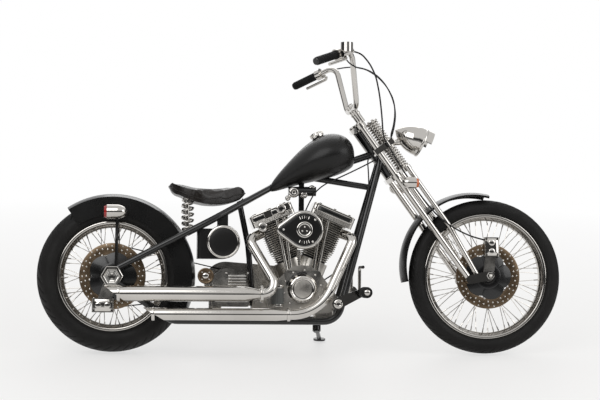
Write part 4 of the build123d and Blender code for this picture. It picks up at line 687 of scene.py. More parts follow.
class BOBBER_OT_springs(Operator):
    """Make the fork's coil springs with their cups, and the saddle's barrel springs"""
    bl_idname = "bobber.springs"
    bl_label = "Coil springs"

    def execute(self, context):
        fork, saddle = Shape(), Shape()
        for y in (-FORK_SPRING_Y, FORK_SPRING_Y):
            place = FORK.moved((FORK_SPRING_X, y, 0))
            for low, high, turns in FORK_SPRINGS:
                t = np.linspace(0, 1, int(turns * 24) + 1)
                flat = 0.8 / turns      # the last turns lie flat
                rise = np.clip((t - flat) / (1 - 2 * flat), 0, 1)
                fork.tube(place(polar(FORK_COIL_R, 2 * pi * turns * t, low + 4 + (high - low - 8) * rise)), 4.0, 10)
                for end, way in ((low, 1), (high, -1)):
                    cup = [(0, -1.5), (20.5, -1.5), (20.5, 1.0), (12, 1.4), (12, 6), (0, 6)]
                    fork.lathe(place, (np.array(cup) * [1, way] + [0, end])[::way])
        fork.piece("fork_coils", "chrome", "fork", ("fork_springs",), 50.0)
        low, high = extent("seat_springs", UPRIGHT)
        t = np.linspace(0, 1, SADDLE_TURNS * 28 + 1)
        rise = low[2] + 5 + (high[2] - low[2] - 10) * np.clip((t - 0.08) / 0.84, 0, 1)
        barrel = polar(21.0 + 4.0 * np.sin(pi * t), 2 * pi * SADDLE_TURNS * t, rise)
        for y in (-SADDLE_SPRING_Y, SADDLE_SPRING_Y):
            place = UPRIGHT.moved(((low[0] + high[0]) / 2, y, 0))
            saddle.tube(place(barrel), 4.2, 10)
            saddle.lathe(place, cylinder(25, low[2], low[2] + 3), 32)
            saddle.lathe(place, cylinder(25, high[2] - 3, high[2]), 32)
            saddle.lathe(place, cylinder(6, low[2], high[2]), 20)
        saddle.piece("saddle_coils", replaces=("seat_springs",), angle=50.0)
        return {"FINISHED"}


# Saddle

class BobberSaddle(PropertyGroup):
    """The padded saddle"""
    voxel: FloatProperty(name="Voxel", description="Size of the remeshed cells", default=0.005, unit="LENGTH")
    inset: FloatProperty(name="Inset", description="How far the cover starts inside its shape", default=0.004,
                         unit="LENGTH")
    pressure: FloatProperty(name="Pressure", description="Air pressure that fills the leather", default=4.0)
    reach: FloatProperty(name="Reach", description="Farthest that a point may move", default=0.012, unit="LENGTH")


CLOTH_FRAMES = 20
WELT_POINTS = 96


def apply_modifiers(piece):
    """Replaces a piece's mesh by the one that its modifiers make, at the frame shown."""
    graph = bpy.context.evaluated_depsgraph_get()
    mesh = bpy.data.meshes.new_from_object(piece.evaluated_get(graph))
    piece.modifiers.clear()
    piece.data = mesh
    return mesh


def move_points(mesh, points):
    mesh.vertices.foreach_set("co", points.ravel())
    mesh.update()


class BOBBER_OT_saddle(Operator):
    """Make the padded leather saddle: remeshed, filled by a cloth pass, with a welt round its edge"""
    bl_idname = "bobber.saddle"
    bl_label = "Saddle"

    def execute(self, context):
        values = context.scene.bobber_saddle
        pad = bpy.data.objects.new("saddle_pad", NODES["seat"].data.copy())
        context.scene.collection.objects.link(pad)
        weld(pad)
        remesh = pad.modifiers.new("remesh", "REMESH")
        remesh.mode = "VOXEL"
        remesh.voxel_size = values.voxel
        apply_modifiers(pad)
        smooth = pad.modifiers.new("smooth", "SMOOTH")
        smooth.factor, smooth.iterations = 0.5, 6
        mesh = apply_modifiers(pad)
        inner = positions(mesh) - rows_of(mesh.vertex_normals, "vector") * values.inset
        move_points(mesh, inner)
        fill_pad(context, pad, inner, values)
        subdivided = pad.modifiers.new("finer", "SUBSURF")
        subdivided.levels = subdivided.render_levels = 1
        mesh = apply_modifiers(pad)
        mesh.shade_smooth()
        dress(pad, "saddle_leather", "chassis", ("seat",))
        make_welt(mesh)
        return {"FINISHED"}


def fill_pad(context, pad, inner, values):
    """A cloth pass under air pressure, held at the underside, each point's way cut at the reach."""
    held = np.flatnonzero(rows_of(pad.data.vertex_normals, "vector") @ UPRIGHT.turn((0, 0, 1)) < -0.6)
    pad.vertex_groups.new(name="held").add(held.tolist(), 1.0, "REPLACE")
    cloth = pad.modifiers.new("cloth", "CLOTH")
    settings = cloth.settings
    settings.quality = 6
    settings.mass = 0.3
    settings.use_pressure = True
    settings.uniform_pressure_force = values.pressure
    settings.vertex_group_mass = "held"
    settings.tension_stiffness = settings.compression_stiffness = 25.0
    settings.bending_stiffness = 2.0
    settings.effector_weights.gravity = 0.0
    cloth.point_cache.frame_start, cloth.point_cache.frame_end = 1, CLOTH_FRAMES
    for number in range(1, CLOTH_FRAMES + 1):
        context.scene.frame_set(number)
    mesh = apply_modifiers(pad)
    context.scene.frame_set(1)
    moved = positions(mesh) - inner
    if not np.isfinite(moved).all():
        raise RuntimeError("the saddle's cloth pass left points at no place")
    far = np.linalg.norm(moved, axis=1)[:, None]
    move_points(mesh, inner + moved * np.minimum(1.0, values.reach / np.maximum(far, 1e-9)))


def make_welt(mesh):
    """A thin round welt along the pad's widest line: the farthest point from its middle in each direction, evened."""
    local = UPRIGHT.local(positions(mesh))
    low, high = local.min(0), local.max(0)
    middle = (low + high) / 2
    flat = (local[:, :2] - middle[:2]) / (high - low)[:2]
    angle, far = np.arctan2(flat[:, 1], flat[:, 0]), np.hypot(flat[:, 0], flat[:, 1])
    bins = ((angle + pi) / (2 * pi) * WELT_POINTS).astype(int) % WELT_POINTS
    order = np.argsort(far)
    best = np.zeros(WELT_POINTS, int)
    best[bins[order]] = order
    line = local[best]
    for _ in range(3):
        line = (np.roll(line, 1, 0) + 2 * line + np.roll(line, -1, 0)) / 4
    away = line - middle
    away[:, 2] = 0
    line = line + away / np.linalg.norm(away, axis=1)[:, None] * 1.5
    Shape().tube(UPRIGHT(line), 2.8, closed=True).piece("saddle_welt", "saddle_leather", angle=80.0)


# Engine

BANKS = {"rear": -22.5, "front": 22.5}
FIN_PITCH, FIN_FLOOR, FIN_TOP, HEAD_FLOOR = 9.6, 150.0, 326.0, 280.0
ROCKER_CAPS = ((740.7, 640.4, 22.0, 11.0), (660.4, 558.3, 21.0, 6.0))      # x, z, radius of cap and core
ROCKER_PANELS = {"rear": ((-62, 26, 9), (20, 18, 9)), "front": ((2, 78, 10),)}      # x, half length, half height
BREATHER, AIR_CLEANER, OIL_FILTER = (822.0, -104.0, 423.6), (837.0, -165.0, 545.0), (728, -117.3, 0)
GEARBOX, STARTER, OIL_TANK = (548.0, -108.0, 315.0), (408.0, -138.0, 340.0), (485.0, -128.0, 490.0)
PRIMARY_Y, PRIMARY_COVERS = 186.0, ((838.0, 288.0, 86.0), (505.0, 300.0, 80.0))     # x, z, radius
CLUSTER = ((800.0, 716.0, 24.0, 34.0), (846.0, 706.0, 17.0, 26.0), (882.0, 734.0, 15.0, 20.0),
           (774.0, 690.0, 12.0, 22.0))      # x, z, radius, depth


def clipped(outline, lean, height, gap):
    """An outline cut where the two banks would meet at a height above the crank, a gap inside that line."""
    toward = np.sign(lean)
    outline[:, 0] = toward * np.maximum(outline[:, 0] * toward, gap - height * tan(radians(abs(lean))))
    return outline


class BOBBER_OT_cylinders(Operator):
    """Make both barrels and heads with fine fins round black cores, whose black is painted shade in the gaps between
    the fins
    """
    bl_idname = "bobber.cylinders"
    bl_label = "Cylinders"

    def execute(self, context):
        fins, cores = Shape(), Shape()
        for lean in BANKS.values():
            place = bank(lean)
            for low in np.arange(FIN_FLOOR, FIN_TOP, FIN_PITCH):
                barrel = 60.0 + 12.0 * smooth_step(low, FIN_FLOOR, 205)
                half, corner = (75.0, 14.0) if low > HEAD_FLOOR else (barrel, 26.0)
                outline = clipped(rounded(half, half, corner, 7), lean, low, 1.6)
                fins.plate(place.moved((0, 0, low)), outline, [(1.2, 0), (0, 0.9), (0, 4.1), (1.2, 5.0)])
            # the barrels' cores show only in the gaps between the fins; their black is painted shade in those gaps
            for low, half in ((143.0, 54.0), (200.0, 64.0), (264.0, 64.0)):
                outline = clipped(rounded(half, half, 24.0, 7), lean, low, 4.0)
                cores.plate(place.moved((0, 0, low)), outline, slab(63.6, 1.0))
        fins.piece("cylinder_fins", "engine_alloy", replaces=("cylinders", "cylinder_heads"), angle=40.0)
        # the cores' black finish is painted shade between the fins, not the cylinders' own colour
        cores.piece("cylinder_cores_painted_shade", "hose_black")
        return {"FINISHED"}


class BOBBER_OT_rockers(Operator):
    """Make the rocker boxes' black insets, their frames, caps, ribs and bolts"""
    bl_idname = "bobber.rockers"
    bl_label = "Rocker boxes"

    def execute(self, context):
        for name, lean in BANKS.items():
            black, rims = Shape(), Shape()
            for x, half, tall in ROCKER_PANELS[name]:
                place = flank(lean, x, 362)
                black.plate(place, rounded(half, tall, 3), slab(1.2, 0.5, -0.5))
                rims.plate(place, rounded(half + 3, tall + 3, 4), slab(0.6, 0.3, -0.6))
            black.piece(name + "_rocker_inset", "frame_black")
            foot, top = flank(lean, 0, 334), bank(lean)
            for height in (-2.0, 3.0, 8.0, 13.0):
                rims.plate(foot.moved((0, height, 0)), rounded(90, 1.2, 1.1), slab(2.0, 0.8, -0.6))
            rims.studs(foot, corners(88, 11, 0) + [0, 29, 0], dome(4.5, 4.5), 14)
            rims.piece(name + "_rocker_ribs", "engine_alloy")
            covers = Shape().plate(top, rounded(92, 84, 12), slab(382.5, 1.6, 379))
            covers.studs(top, [(x, y, 382) for x in (-70, 0, 70) for y in (-72, 72)], nut(6.0, 5.0), 6)
            covers.piece(name + "_rocker_lid", "engine_alloy")
        caps, cores = Shape(), Shape()
        for x, z, r, core in ROCKER_CAPS:
            caps.lathe(side(x, -92.0, z), [(0, 0), (r, 0), (r, 9), (r - 4, 11), (r - 7, 11), (r - 9, 8), (0, 8)],
                       corner=1.2)
            cores.lathe(side(x, -100.0, z), dome(core, 2.4), 28)
        caps.piece("rocker_caps")
        cores.piece("rocker_cap_cores", "frame_black")
        n = np.arange(7)
        r = np.interp(n, [0, 6], [17, 6])
        ribs = np.stack([np.stack([r * share, n * 10.0 + rise], -1)
                         for share, rise in ((1, 0), (1, 4.5), (0.6, 5.5), (0.6, 9.0))], 1)
        place = side(*BREATHER).moved((0, 34, 0), z_axis=(0, -1, 0))
        Shape().lathe(place, np.vstack([(0, 0), ribs.reshape(-1, 2), (0, 70)]), 32).piece("breather_cone")
        return {"FINISHED"}


class BOBBER_OT_air_cleaner(Operator):
    """Make the teardrop air cleaner: rounded chrome cover, black face, slots, screws and centre disc"""
    bl_idname = "bobber.air_cleaner"
    bl_label = "Air cleaner"

    def execute(self, context):
        place = side(*AIR_CLEANER)
        outline = teardrop(0, 85.0, -92.0, 30.0, 72)
        for name, material, profile, replaces in (
            ("cover", "chrome", [(2, 0), (0, 4), (0, 32), (1.0, 37), (3.2, 41), (6.5, 43.4), (10, 44), (12.5, 43.4),
                                 (14, 41.5), (14.6, 39)], ("air_cleaner",)),
            ("face", "tank_black", [(14.4, 38.4), (14.6, 40.2), (17, 41.2), (26, 41.8)], ()),
            ("back", "case_alloy", [(6, -8), (5, -6), (5, 0.5), (8, 1)], ()),
        ):
            Shape().plate(place, outline, profile).piece("air_cleaner_" + name, material, replaces=replaces)
        centre = [(0, 41), (36, 41), (36, 44.5), (33, 46.5), (27, 46.8), (24, 45.4), (0, 45.4)]
        trim = Shape().lathe(place, centre, 56, 1.4)
        trim.studs(place, [(0, 12, 45), (10.4, -6, 45), (-10.4, -6, 45)], dome(3.8, 3.0), 14)
        a = np.radians(np.hstack([np.linspace(70, 112, 5), np.linspace(248, 290, 5)]))
        trim.rods(place(polar(49.0, a, 41.4)), place(polar(61.0, a, 41.4)), 1.8)
        trim.studs(place, [(46, 44, 41), (-92, 0, 41), (36, -52, 41)], dome(5.2, 4.2), 16)
        trim.piece("air_cleaner_trim")
        return {"FINISHED"}


class BOBBER_OT_cases(Operator):
    """Make the covers' rings, arcs, ribs, bolts and caps on the crankcase, gearbox, starter and oil tank"""
    bl_idname = "bobber.cases"
    bl_label = "Covers"

    def execute(self, context):
        for make in (cam_cover, oil_filter, gearbox, starter, oil_tank, primary):
            make()
        return {"FINISHED"}


def cam_cover():
    """The cam cover's nose ring with its face, three black arcs and ten bolts."""
    nose = side(CRANK[0], -126.0, CRANK[1])
    ring = Shape().lathe(nose, [(0, 0), (58, 0), (58, 4.5), (50, 7), (46, 4), (42, 3.5), (0, 3.5)], 72, 1.6)
    ring.studs(nose, round_table(52.5, 5, 54, 5.0), dome(3.4, 3.4))
    ring.piece("cam_nose")
    Shape().lathe(nose, [(0, 3), (40, 3), (40, 4.4), (38, 5), (0, 5)], 56).piece("cam_face", "case_alloy")
    arcs = Shape()
    for first, last in ((75, 112), (122, 136), (150, 168)):
        arc = polar(72, np.radians(np.linspace(first, last, 12)), 0)
        arcs.tube(side(CRANK[0], -110.5, CRANK[1])(arc), 3.6)
    arcs.piece("cam_arcs", "frame_black")
    face = side(CRANK[0], -108.0, CRANK[1])
    Shape().studs(face, round_table(84, 10, 12), dome(4.6, 5.0), 14).piece("case_bolts")


def oil_filter():
    """The upright oil filter's two chrome ends and the flutes between them."""
    stand = UPRIGHT.moved(OIL_FILTER)
    ends = Shape()
    for z, tall in ((206.0, 12.0), (288.0, 14.0)):
        ends.lathe(stand, cylinder(26.2, z, z + tall), corner=1.5)
    ends.piece("oil_filter_ends")
    flutes = Shape().rods(*(stand(polar(25.3, around(16), z)) for z in (219.0, 287.0)), 1.4, 6)
    flutes.piece("oil_filter_flutes", "filter_grey")


def gearbox():
    """The gearbox cover's ribs and bolts."""
    box = side(*GEARBOX)
    ribs = Shape()
    for y in (-26, -13, 0, 13, 26):
        ribs.plate(box.moved((0, y, 0)), rounded(40, 3.6, 3.4), slab(3.2, 1.2, -1.5))
    ribs.studs(box, corners(48, 38, 0), dome(4.6, 5.0), 14).piece("gearbox_ribs")


def starter():
    """The starter's copper-coloured rim and its bright hub with bolts."""
    end = side(*STARTER)
    rim = [(0, -3), (35.2, -3), (35.2, 3.5), (31, 5), (28, 2), (0, 2)]
    Shape().lathe(end, rim, 48, 1.2).piece("starter_rim", "disc_steel")
    Shape().lathe(end, dome(14, 5), 28).studs(end, round_table(22, 4, 45), dome(3.4, 4.6)).piece("starter_cap")


def oil_tank():
    """The round oil tank's bright ring with bolts and its black face."""
    tank = side(*OIL_TANK)
    rim = round_corners([(62, 1), (62, 3.5), (66, 6.5), (72, 5), (74.6, -1), (74.6, -16), (73, -16), (73, 1)], 1.5, 4)
    Shape().lathe(tank, rim, 72).studs(tank, round_table(67, 8, 20, 5.0), dome(3.0, 3.0)).piece("oil_tank_ring")
    face = [(0, 0), (63, 0), (63, 1.6), (56, 3.2), (40, 4.6), (20, 5.2), (0, 5.4)]
    Shape().lathe(tank, face, 64).piece("oil_tank_face", "tank_black")


def primary():
    """The two round covers with bolts on the primary cover."""
    cover = Shape()
    for x, z, r in PRIMARY_COVERS:
        spot = UPRIGHT.facing((x, PRIMARY_Y, z), 1, -1)
        cover.lathe(spot, [(0, -2), (r * 0.62, -2), (r * 0.62, 3), (r * 0.5, 5), (0, 5)], 56, 1.6)
        cover.studs(spot, round_table(r * 0.55, 5, 18, 3.0), dome(3.6, 3.4))
    cover.piece("primary_covers")


class BOBBER_OT_intake(Operator):
    """Make the chrome cluster below the tank: choke, coil cover, switch and the top mount's bolts"""
    bl_idname = "bobber.intake"
    bl_label = "Top cluster"

    def execute(self, context):
        cluster = Shape()
        for x, z, r, deep in CLUSTER:
            cluster.lathe(side(x, -34.0, z), [(0, -8), (r, -8), (r, deep - 6), (r * 0.7, deep), (r * 0.35, deep),
                                              (r * 0.3, deep - 3), (0, deep - 3)], corner=2.2)
        cluster.rods(UPRIGHT([(774, -46, 690), (846, -46, 706)]), UPRIGHT([(800, -46, 716), (882, -46, 734)]), 8, 14)
        cluster.piece("top_cluster")
        return {"FINISHED"}


# Lamps

class BOBBER_OT_lamps(Operator):
    """Make the headlight's rim, reflector, fluted lens and bulb"""
    bl_idname = "bobber.lamps"
    bl_label = "Lamps"

    def execute(self, context):
        points = positions(NODES["headlight_lens"].data)
        centre = points.mean(0)
        axes = np.linalg.svd(points - centre, full_matrices=False)[2]
        ahead = axes[2] * np.sign(axes[2] @ FORK.axes[0])
        across = unit(FORK.axes[1] - ahead * (FORK.axes[1] @ ahead))
        lens = Place(centre, across, np.cross(ahead, across), ahead)
        reach = np.linalg.norm((points - centre) @ lens.axes[:2].T, axis=1).max() / MM
        rim = [(reach - 3, -6), (reach + 4.5, -6), (reach + 5.5, 0), (reach + 4, 5), (reach, 6.5), (reach - 3, 4)]
        Shape().lathe(lens, rim, 72, 1.6, 4, True).piece("headlight_rim", body="fork")
        bowl = np.linspace(0.16, 1, 14)
        dish = np.stack([bowl * (reach - 4), -34 + 30 * bowl ** 2], -1)
        Shape().lathe(lens, np.vstack([dish, dish[::-1] - [0, 1.5]]), 64, ring=True).piece(
            "headlight_reflector", body="fork")
        glass_shape(lens, reach - 2).piece("headlight_glass", "lens_clear", "fork", ("headlight_lens",), 60.0)
        bulb = np.vstack([[(0, -33), (7, -33)], dome(9, 12)[1:] + [0, -24]])
        Shape().lathe(lens, bulb, 28).piece("headlight_bulb", "lens_amber", "fork")
        return {"FINISHED"}


def glass_shape(lens, radius, steps=60):
    """The lens: a square grid drawn out to a disc, x = u sqrt(1 - v^2 / 2) and y alike. Its front is a dome with
    flutes, 4.5 + 5 (1 - x^2 - y^2) + 0.7 cos(14 pi x) sqrt(1 - x^2 - y^2), and its rear a lower plain dome."""
    side_points = steps + 1
    u, v = np.meshgrid(*[np.linspace(-1, 1, side_points)] * 2)
    x, y = u * np.sqrt(1 - v ** 2 / 2), v * np.sqrt(1 - u ** 2 / 2)
    inside = 1 - x ** 2 - y ** 2
    flute = 0.7 * np.cos(x * pi * 14) * np.clip(inside, 0, 1) ** 0.5
    quads = grid_faces(side_points, side_points, wrap_columns=False)
    glass = Shape().add(lens(np.stack([x * radius, y * radius, 4.5 + 5.0 * inside + flute], -1)), quads)
    glass.add(lens(np.stack([x * radius, y * radius, 1.0 + 3.5 * inside], -1)), quads[:, ::-1])
    n, count = np.arange(steps), side_points ** 2
    edge = np.concatenate([n, steps + side_points * n, count - 1 - n, count - side_points * (n + 1)])
    after = np.roll(edge, -1)
    glass.quads = np.vstack([glass.quads, np.stack([edge, after, after + count, edge + count], -1)])
    return glass


# Controls

PEG = (1098.0, 340.0, 273.0)            # a foot peg's outer end, forward, out and up
FOOT_HUB = (985.0, 226.0, 222.0)        # the foot controls' pivot
RISER = (30.0, 30.0)                    # a riser's middle, ahead of the steering axis and out
CROWN = 148.0                           # top of the fork's upper crown, up the steering axis
GRIP_RIBS, PEG_RIBS = 23, 12
FILLER_CAP, FILLER_LEAN = (910.0, 0, 970.0), radians(-24.0)


class BOBBER_OT_grips(Operator):
    """Make the grips with their ribs and end caps"""
    bl_idname = "bobber.grips"
    bl_label = "Grips"

    def execute(self, context):
        local = FORK.local(positions(NODES["grips"].data))
        ribs, caps = Shape(), Shape()
        for way in (-1.0, 1.0):
            half = local[local[:, 1] * way > 0]
            centre = half.mean(0)
            axis = np.linalg.svd(half - centre, full_matrices=False)[2][0]
            axis *= np.sign(axis[1] * way)
            along = (half - centre) @ axis
            r = np.linalg.norm(half - centre - along[:, None] * axis, axis=1).max()
            place = FORK.moved(centre, (0, 0, 1), axis)
            first, last = along.min(), along.max()
            rows = ribbed(r, 1.3, np.linspace(first + 6, last - 8, GRIP_RIBS), 1.3, 1.9)
            ribs.lathe(place, np.vstack([[(0, first), (r + 3, first), (r + 3, first + 3), (r, first + 4)], rows,
                                         [(r, last - 3), (r - 2, last), (0, last)]]))
            caps.lathe(place.moved((0, 0, last - 1)), [(0, 0), (r - 1, 0), (r - 1, 3), (r - 4, 5.5), (0, 6)], 36, 1.2)
        ribs.piece("grip_ribs", "grip_rubber", "fork", ("grips",), 40.0)
        caps.piece("grip_caps", "frame_black", "fork")
        return {"FINISHED"}


class BOBBER_OT_controls(Operator):
    """Make the peg rubbers' rings and ends, the foot controls' hubs and the risers' bands and nuts"""
    bl_idname = "bobber.controls"
    bl_label = "Controls"

    def execute(self, context):
        rings, bright, clamp = Shape(), Shape(), Shape()
        peg = np.vstack([[(0, -111.5), (22, -111.5)], ribbed(22.0, 2.2, np.linspace(-104, -10, PEG_RIBS), 2.0, 2.6),
                         [(22, -2), (18, 1), (0, 1)]])
        for way in (-1.0, 1.0):
            out, hub = (UPRIGHT.facing((x, y * way, z), way) for x, y, z in (PEG, FOOT_HUB))
            rings.lathe(out, peg, 36)
            bright.lathe(out, [(0, 0), (12, 0), (12, 3), (9, 5), (0, 5.5)], 32)
            bright.lathe(hub, [(0, 0), (20, 0), (20, 4), (15, 7), (11, 7), (9, 5), (0, 5)], corner=1.2)
            bright.studs(hub, round_table(14.5, 4, 45, 6.0), dome(2.6, 2.4))
            riser = FORK.moved((RISER[0], RISER[1] * way, 0))
            for w in (196.0, 214.0, 232.0):
                band = [(13.5, w - 4), (16.4, w - 4), (16.4, w + 4), (13.5, w + 4)]
                clamp.lathe(riser, band, 32, 0.8, 3, True)
            clamp.studs(riser, [(0, 0, 242)], nut(8.0, 6.0), 6)
            cap = [(0, -1), (17, -1), (17, 7), (13, 11), (0, 12)]
            clamp.lathe(FORK.moved((0, 92.0 * way, CROWN)), cap, 32, 1.5)
        clamp.lathe(FORK.moved((0, 0, CROWN)), [(0, 0), (15, 0), (15, 6), (11, 10), (0, 10)], 6)
        rings.piece("peg_rings", "grip_rubber", angle=40.0)
        bright.piece("peg_ends")
        clamp.piece("fork_nuts", body="fork")
        return {"FINISHED"}


class BOBBER_OT_tank(Operator):
    """Make the filler cap's ribs and its raised top"""
    bl_idname = "bobber.tank"
    bl_label = "Tank trim"

    def execute(self, context):
        cap = UPRIGHT.moved(FILLER_CAP, z_axis=(sin(FILLER_LEAN), 0, cos(FILLER_LEAN)))
        ribs = Shape().rods(*(cap(polar(30.5, around(24), z)) for z in (4, 17)), 1.5)
        ribs.lathe(cap, [(0, 19), (22, 19), (20, 21.5), (8, 22.6), (0, 22.6)], 40, 1.0, 3)
        ribs.piece("fuel_cap_ribs")
        return {"FINISHED"}


# Trim

AXLE_COVER_R, AXLE_COVER_Y = 50.0, 166.0
PIPE_CLAMPS = ((652.0, 262.0, 35.6), (30.0, 262.0, 35.4), (180.0, 174.0, 28.4), (770.0, 174.0, 28.4))   # x, z, radius
PIPE_Y = -200.0


class BOBBER_OT_axle_trim(Operator):
    """Make the hexagonal axle cover, the axle nuts and the pipes' clamps"""
    bl_idname = "bobber.axle_trim"
    bl_label = "Axle covers and clamps"

    def execute(self, context):
        place = side(0.0, -AXLE_COVER_Y, REAR_RADIUS)
        cover = [(0, 2), (0, 12), (1, 15), (3.5, 17), (12, 17.5), (15, 15), (16, 14.5)]
        Shape().plate(place, round_corners(circle(AXLE_COVER_R, 6), 5, 5), cover).piece("axle_cover")
        grooves = Shape()
        for inset in (15.5, 22.0, 28.5):
            ring = round_corners(circle(AXLE_COVER_R - inset * 1.08, 6), 3, 4)
            grooves.tube(place(np.insert(ring, 2, 14.8, 1)), 1.5, closed=True)
        grooves.piece("axle_cover_grooves", "filter_grey")
        end = UPRIGHT.facing((0.0, AXLE_COVER_Y, REAR_RADIUS), 1, -1)
        Shape().lathe(end, nut(19.0, 15.0), 6).lathe(end, dome(11.0, 21.0), 24).piece("rear_axle_nut")
        for name, way, edge in zip(("right", "left"), (-1.0, 1.0), extent("fork_rockers", FRONT_WHEEL)):
            end = FRONT_WHEEL.facing((0, edge[1] - 4 * way, 0), way)
            Shape().lathe(end, nut(17.0, 10.0), 6).lathe(end, dome(9.5, 16.0), 24).piece(
                "front_axle_nut_" + name, body="fork")
        clamps = Shape()
        for x, z, r in PIPE_CLAMPS:
            band = [(r - 3, -7), (r, -7), (r + 1.2, -5), (r + 1.2, 5), (r, 7), (r - 3, 7)]
            clamps.lathe(UPRIGHT.moved((x, PIPE_Y, z), (0, 0, 1), (1, 0, 0)), band, 48, 0.8, 3, True)
        clamps.piece("exhaust_clamps")
        return {"FINISHED"}


# Stage

class BobberStage(PropertyGroup):
    """The studio: camera, lamps, floor and background"""
    camera_place: FloatVectorProperty(
        name="Camera place", description="Camera from the rear tyre's ground point, along the frame's axes",
        default=(0.2161, -7.3662, 1.5128), subtype="TRANSLATION", unit="LENGTH")
    camera_turn: FloatVectorProperty(
        name="Camera turn", description="Camera's turn to the left, dip and roll, in degrees",
        default=(4.717, 6.368, -1.163))
    lens: FloatProperty(name="Lens", description="Focal length in millimetres on a 36 mm sensor", default=100.56)
    lamp_power: FloatProperty(name="Lamp power", description="Power of the main lamp in watts", default=95.0)
    floor_colour: FloatVectorProperty(
        name="Floor colour", description="Colour of the floor", default=(0.82, 0.80, 0.77), subtype="COLOR")


LAMPS = (       # name, place, size, share of the main lamp's power
    ("key", (-2.2, -3.4, 3.6), 3.6, 1.0),
    ("side", (3.6, -2.2, 2.2), 2.6, 0.5),
    ("back", (0.4, 3.6, 3.4), 3.6, 0.6),
)
FLOOR_RINGS = (0.0, 1.5, 3.0, 6.0, 10.0, 14.0)
FLOOR_DROP = 0.0005
SKY_STRENGTH = 0.42


class BOBBER_OT_stage(Operator):
    """Set up the camera, the lamps, the floor and the white background"""
    bl_idname = "bobber.stage"
    bl_label = "Stage"

    def execute(self, context):
        values = context.scene.bobber_stage
        make_camera(context.scene, values)
        make_lamps(context.scene, values)
        make_floor(values)
        make_world(context.scene)
        context.scene.view_settings.view_transform = "Standard"
        return {"FINISHED"}


def make_camera(scene, values):
    """A camera that looks along +Y, then is turned about the vertical, dipped and rolled."""
    yaw, dip, roll = (radians(v) for v in values.camera_turn)
    view = np.array([sin(yaw) * cos(dip), cos(yaw) * cos(dip), -sin(dip)])
    level = np.array([cos(yaw), -sin(yaw), 0.0])
    up = np.cross(level, view)
    right, top = cos(roll) * level - sin(roll) * up, cos(roll) * up + sin(roll) * level
    data = bpy.data.cameras.new("camera")
    data.lens = values.lens
    camera = bpy.data.objects.new("camera", data)
    turned = Matrix(np.stack([right, top, -view], 1).tolist()).to_4x4()
    turned.translation = Vector(UPRIGHT((0, 0, 0))) + Vector(values.camera_place)
    camera.matrix_world = turned
    scene.collection.objects.link(camera)
    scene.camera = camera


def make_lamps(scene, values):
    """Large soft lamps: one above the camera's left, one from the right, one behind and above."""
    low, high = (Vector(corner) for corner in CAD_BOX)
    for name, place, size, share in LAMPS:
        data = bpy.data.lights.new(name, "AREA")
        data.shape = "SQUARE"
        data.size = size
        data.energy = values.lamp_power * share
        lamp = bpy.data.objects.new(name, data)
        lamp.location = place
        lamp.rotation_euler = ((low + high) / 2 - Vector(place)).to_track_quat("-Z", "Y").to_euler()
        scene.collection.objects.link(lamp)


def make_floor(values):
    """A large pale disc under the wheels, whose edge fades into the white background for all rays that see it."""
    low, _ = CAD_BOX
    material, tree, shader = new_material("floor")
    for label, value in (("Base Color", (*values.floor_colour, 1)), ("Roughness", 0.5),
                         ("Specular IOR Level", 0.25)):
        shader.inputs[label].default_value = value
    reach = node(tree, "VectorMath", {0: node(tree, "TexCoord").outputs["Object"]}, operation="LENGTH")
    fade = node(tree, "MapRange", {"From Min": 0.8, "From Max": 6.0, "To Min": 0.62,
                                   "Value": reach.outputs["Value"]}).outputs["Result"]
    rays = node(tree, "LightPath").outputs
    seen = combine(tree, "MAXIMUM", rays["Is Camera Ray"], rays["Is Glossy Ray"])
    seen = combine(tree, "MAXIMUM", seen, rays["Is Transmission Ray"])
    mixed = node(tree, "MixShader", {0: combine(tree, "MULTIPLY", fade, seen), 1: shader.outputs["BSDF"],
                                     2: node(tree, "Emission").outputs["Emission"]})
    tree.links.new(mixed.outputs["Shader"], tree.nodes["Material Output"].inputs["Surface"])
    rings, t = np.array(FLOOR_RINGS)[:, None], around(96)
    floor = link_mesh("floor", polar(rings, t, low[2] - FLOOR_DROP).reshape(-1, 3), grid_faces(len(rings), len(t)))
    floor.data.materials.append(material)
    weld(floor)


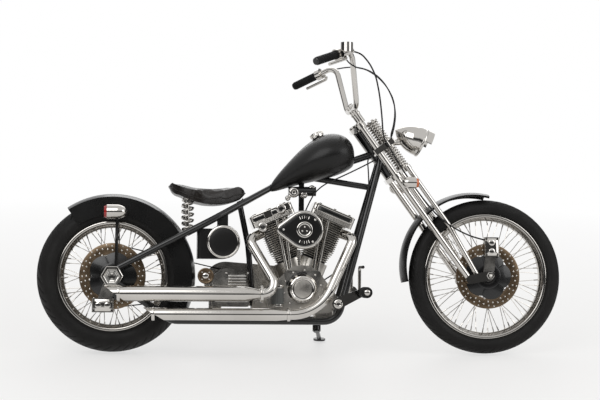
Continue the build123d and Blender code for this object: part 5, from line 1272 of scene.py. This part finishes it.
def make_world(scene):
    """White for camera and transmission rays, a soft grey sky for diffuse light, and for glossy rays the studio
    round the machine: white beyond it and overhead, dark towards the horizon in front of it and at its ends."""
    world = bpy.data.worlds.new("studio")
    world.use_nodes = True
    tree = world.node_tree
    rays = node(tree, "LightPath").outputs
    way = node(tree, "SeparateXYZ", {"Vector": node(tree, "TexCoord").outputs["Generated"]}).outputs

    def ramp(axis, low, high, first, last):
        """A value that goes from first to last while the direction's share along an axis goes from low to high."""
        return node(tree, "MapRange", {"From Min": low, "From Max": high, "To Min": first, "To Max": last,
                                       "Value": way[axis]}, interpolation_type="SMOOTHSTEP").outputs["Result"]

    beyond = ramp("Y", 0.72, 0.95, 0.0, 0.9)
    overhead = combine(tree, "ADD", ramp("Z", 0.03, 0.13, 0.34, 0.05), ramp("Z", 0.27, 0.46, 0.0, 0.80))
    studio = combine(tree, "MAXIMUM", beyond, overhead)
    shiny = node(tree, "Mix", {"A": SKY_STRENGTH, "B": studio, "Factor": rays["Is Glossy Ray"]}).outputs["Result"]
    seen = combine(tree, "MAXIMUM", rays["Is Camera Ray"], rays["Is Transmission Ray"])
    whole = node(tree, "Mix", {"A": shiny, "B": 1.0, "Factor": seen}).outputs["Result"]
    back = tree.nodes["Background"].inputs
    tree.links.new(whole, back["Strength"])
    back["Color"].default_value = (1.0, 1.0, 1.0, 1)
    scene.world = world


class BOBBER_PT_panel(Panel):
    """Lists the steps that dress the motorcycle"""
    bl_idname = "BOBBER_PT_panel"
    bl_label = "Bobber Motorcycle"
    bl_space_type = "VIEW_3D"
    bl_region_type = "UI"
    bl_category = "Bobber"

    def draw(self, context):
        for step in STEPS:
            self.layout.operator(step.bl_idname)


STEPS = (BOBBER_OT_finishes, BOBBER_OT_tyres, BOBBER_OT_wheels, BOBBER_OT_discs, BOBBER_OT_calipers,
         BOBBER_OT_springs, BOBBER_OT_saddle, BOBBER_OT_cylinders, BOBBER_OT_rockers, BOBBER_OT_air_cleaner,
         BOBBER_OT_cases, BOBBER_OT_intake, BOBBER_OT_lamps, BOBBER_OT_grips, BOBBER_OT_controls,
         BOBBER_OT_tank, BOBBER_OT_axle_trim, BOBBER_OT_stage)
CLASSES = (BobberSaddle, BobberStage, *STEPS, BOBBER_PT_panel)


def register():
    for item in CLASSES:
        bpy.utils.register_class(item)
    bpy.types.Scene.bobber_stage = PointerProperty(type=BobberStage)
    bpy.types.Scene.bobber_saddle = PointerProperty(type=BobberSaddle)


def unregister():
    del bpy.types.Scene.bobber_stage, bpy.types.Scene.bobber_saddle
    for item in reversed(CLASSES):
        bpy.utils.unregister_class(item)


def main():
    register()
    for step in STEPS:
        getattr(bpy.ops.bobber, step.bl_idname.split(".")[1])()


if __name__ == "__main__":
    main()
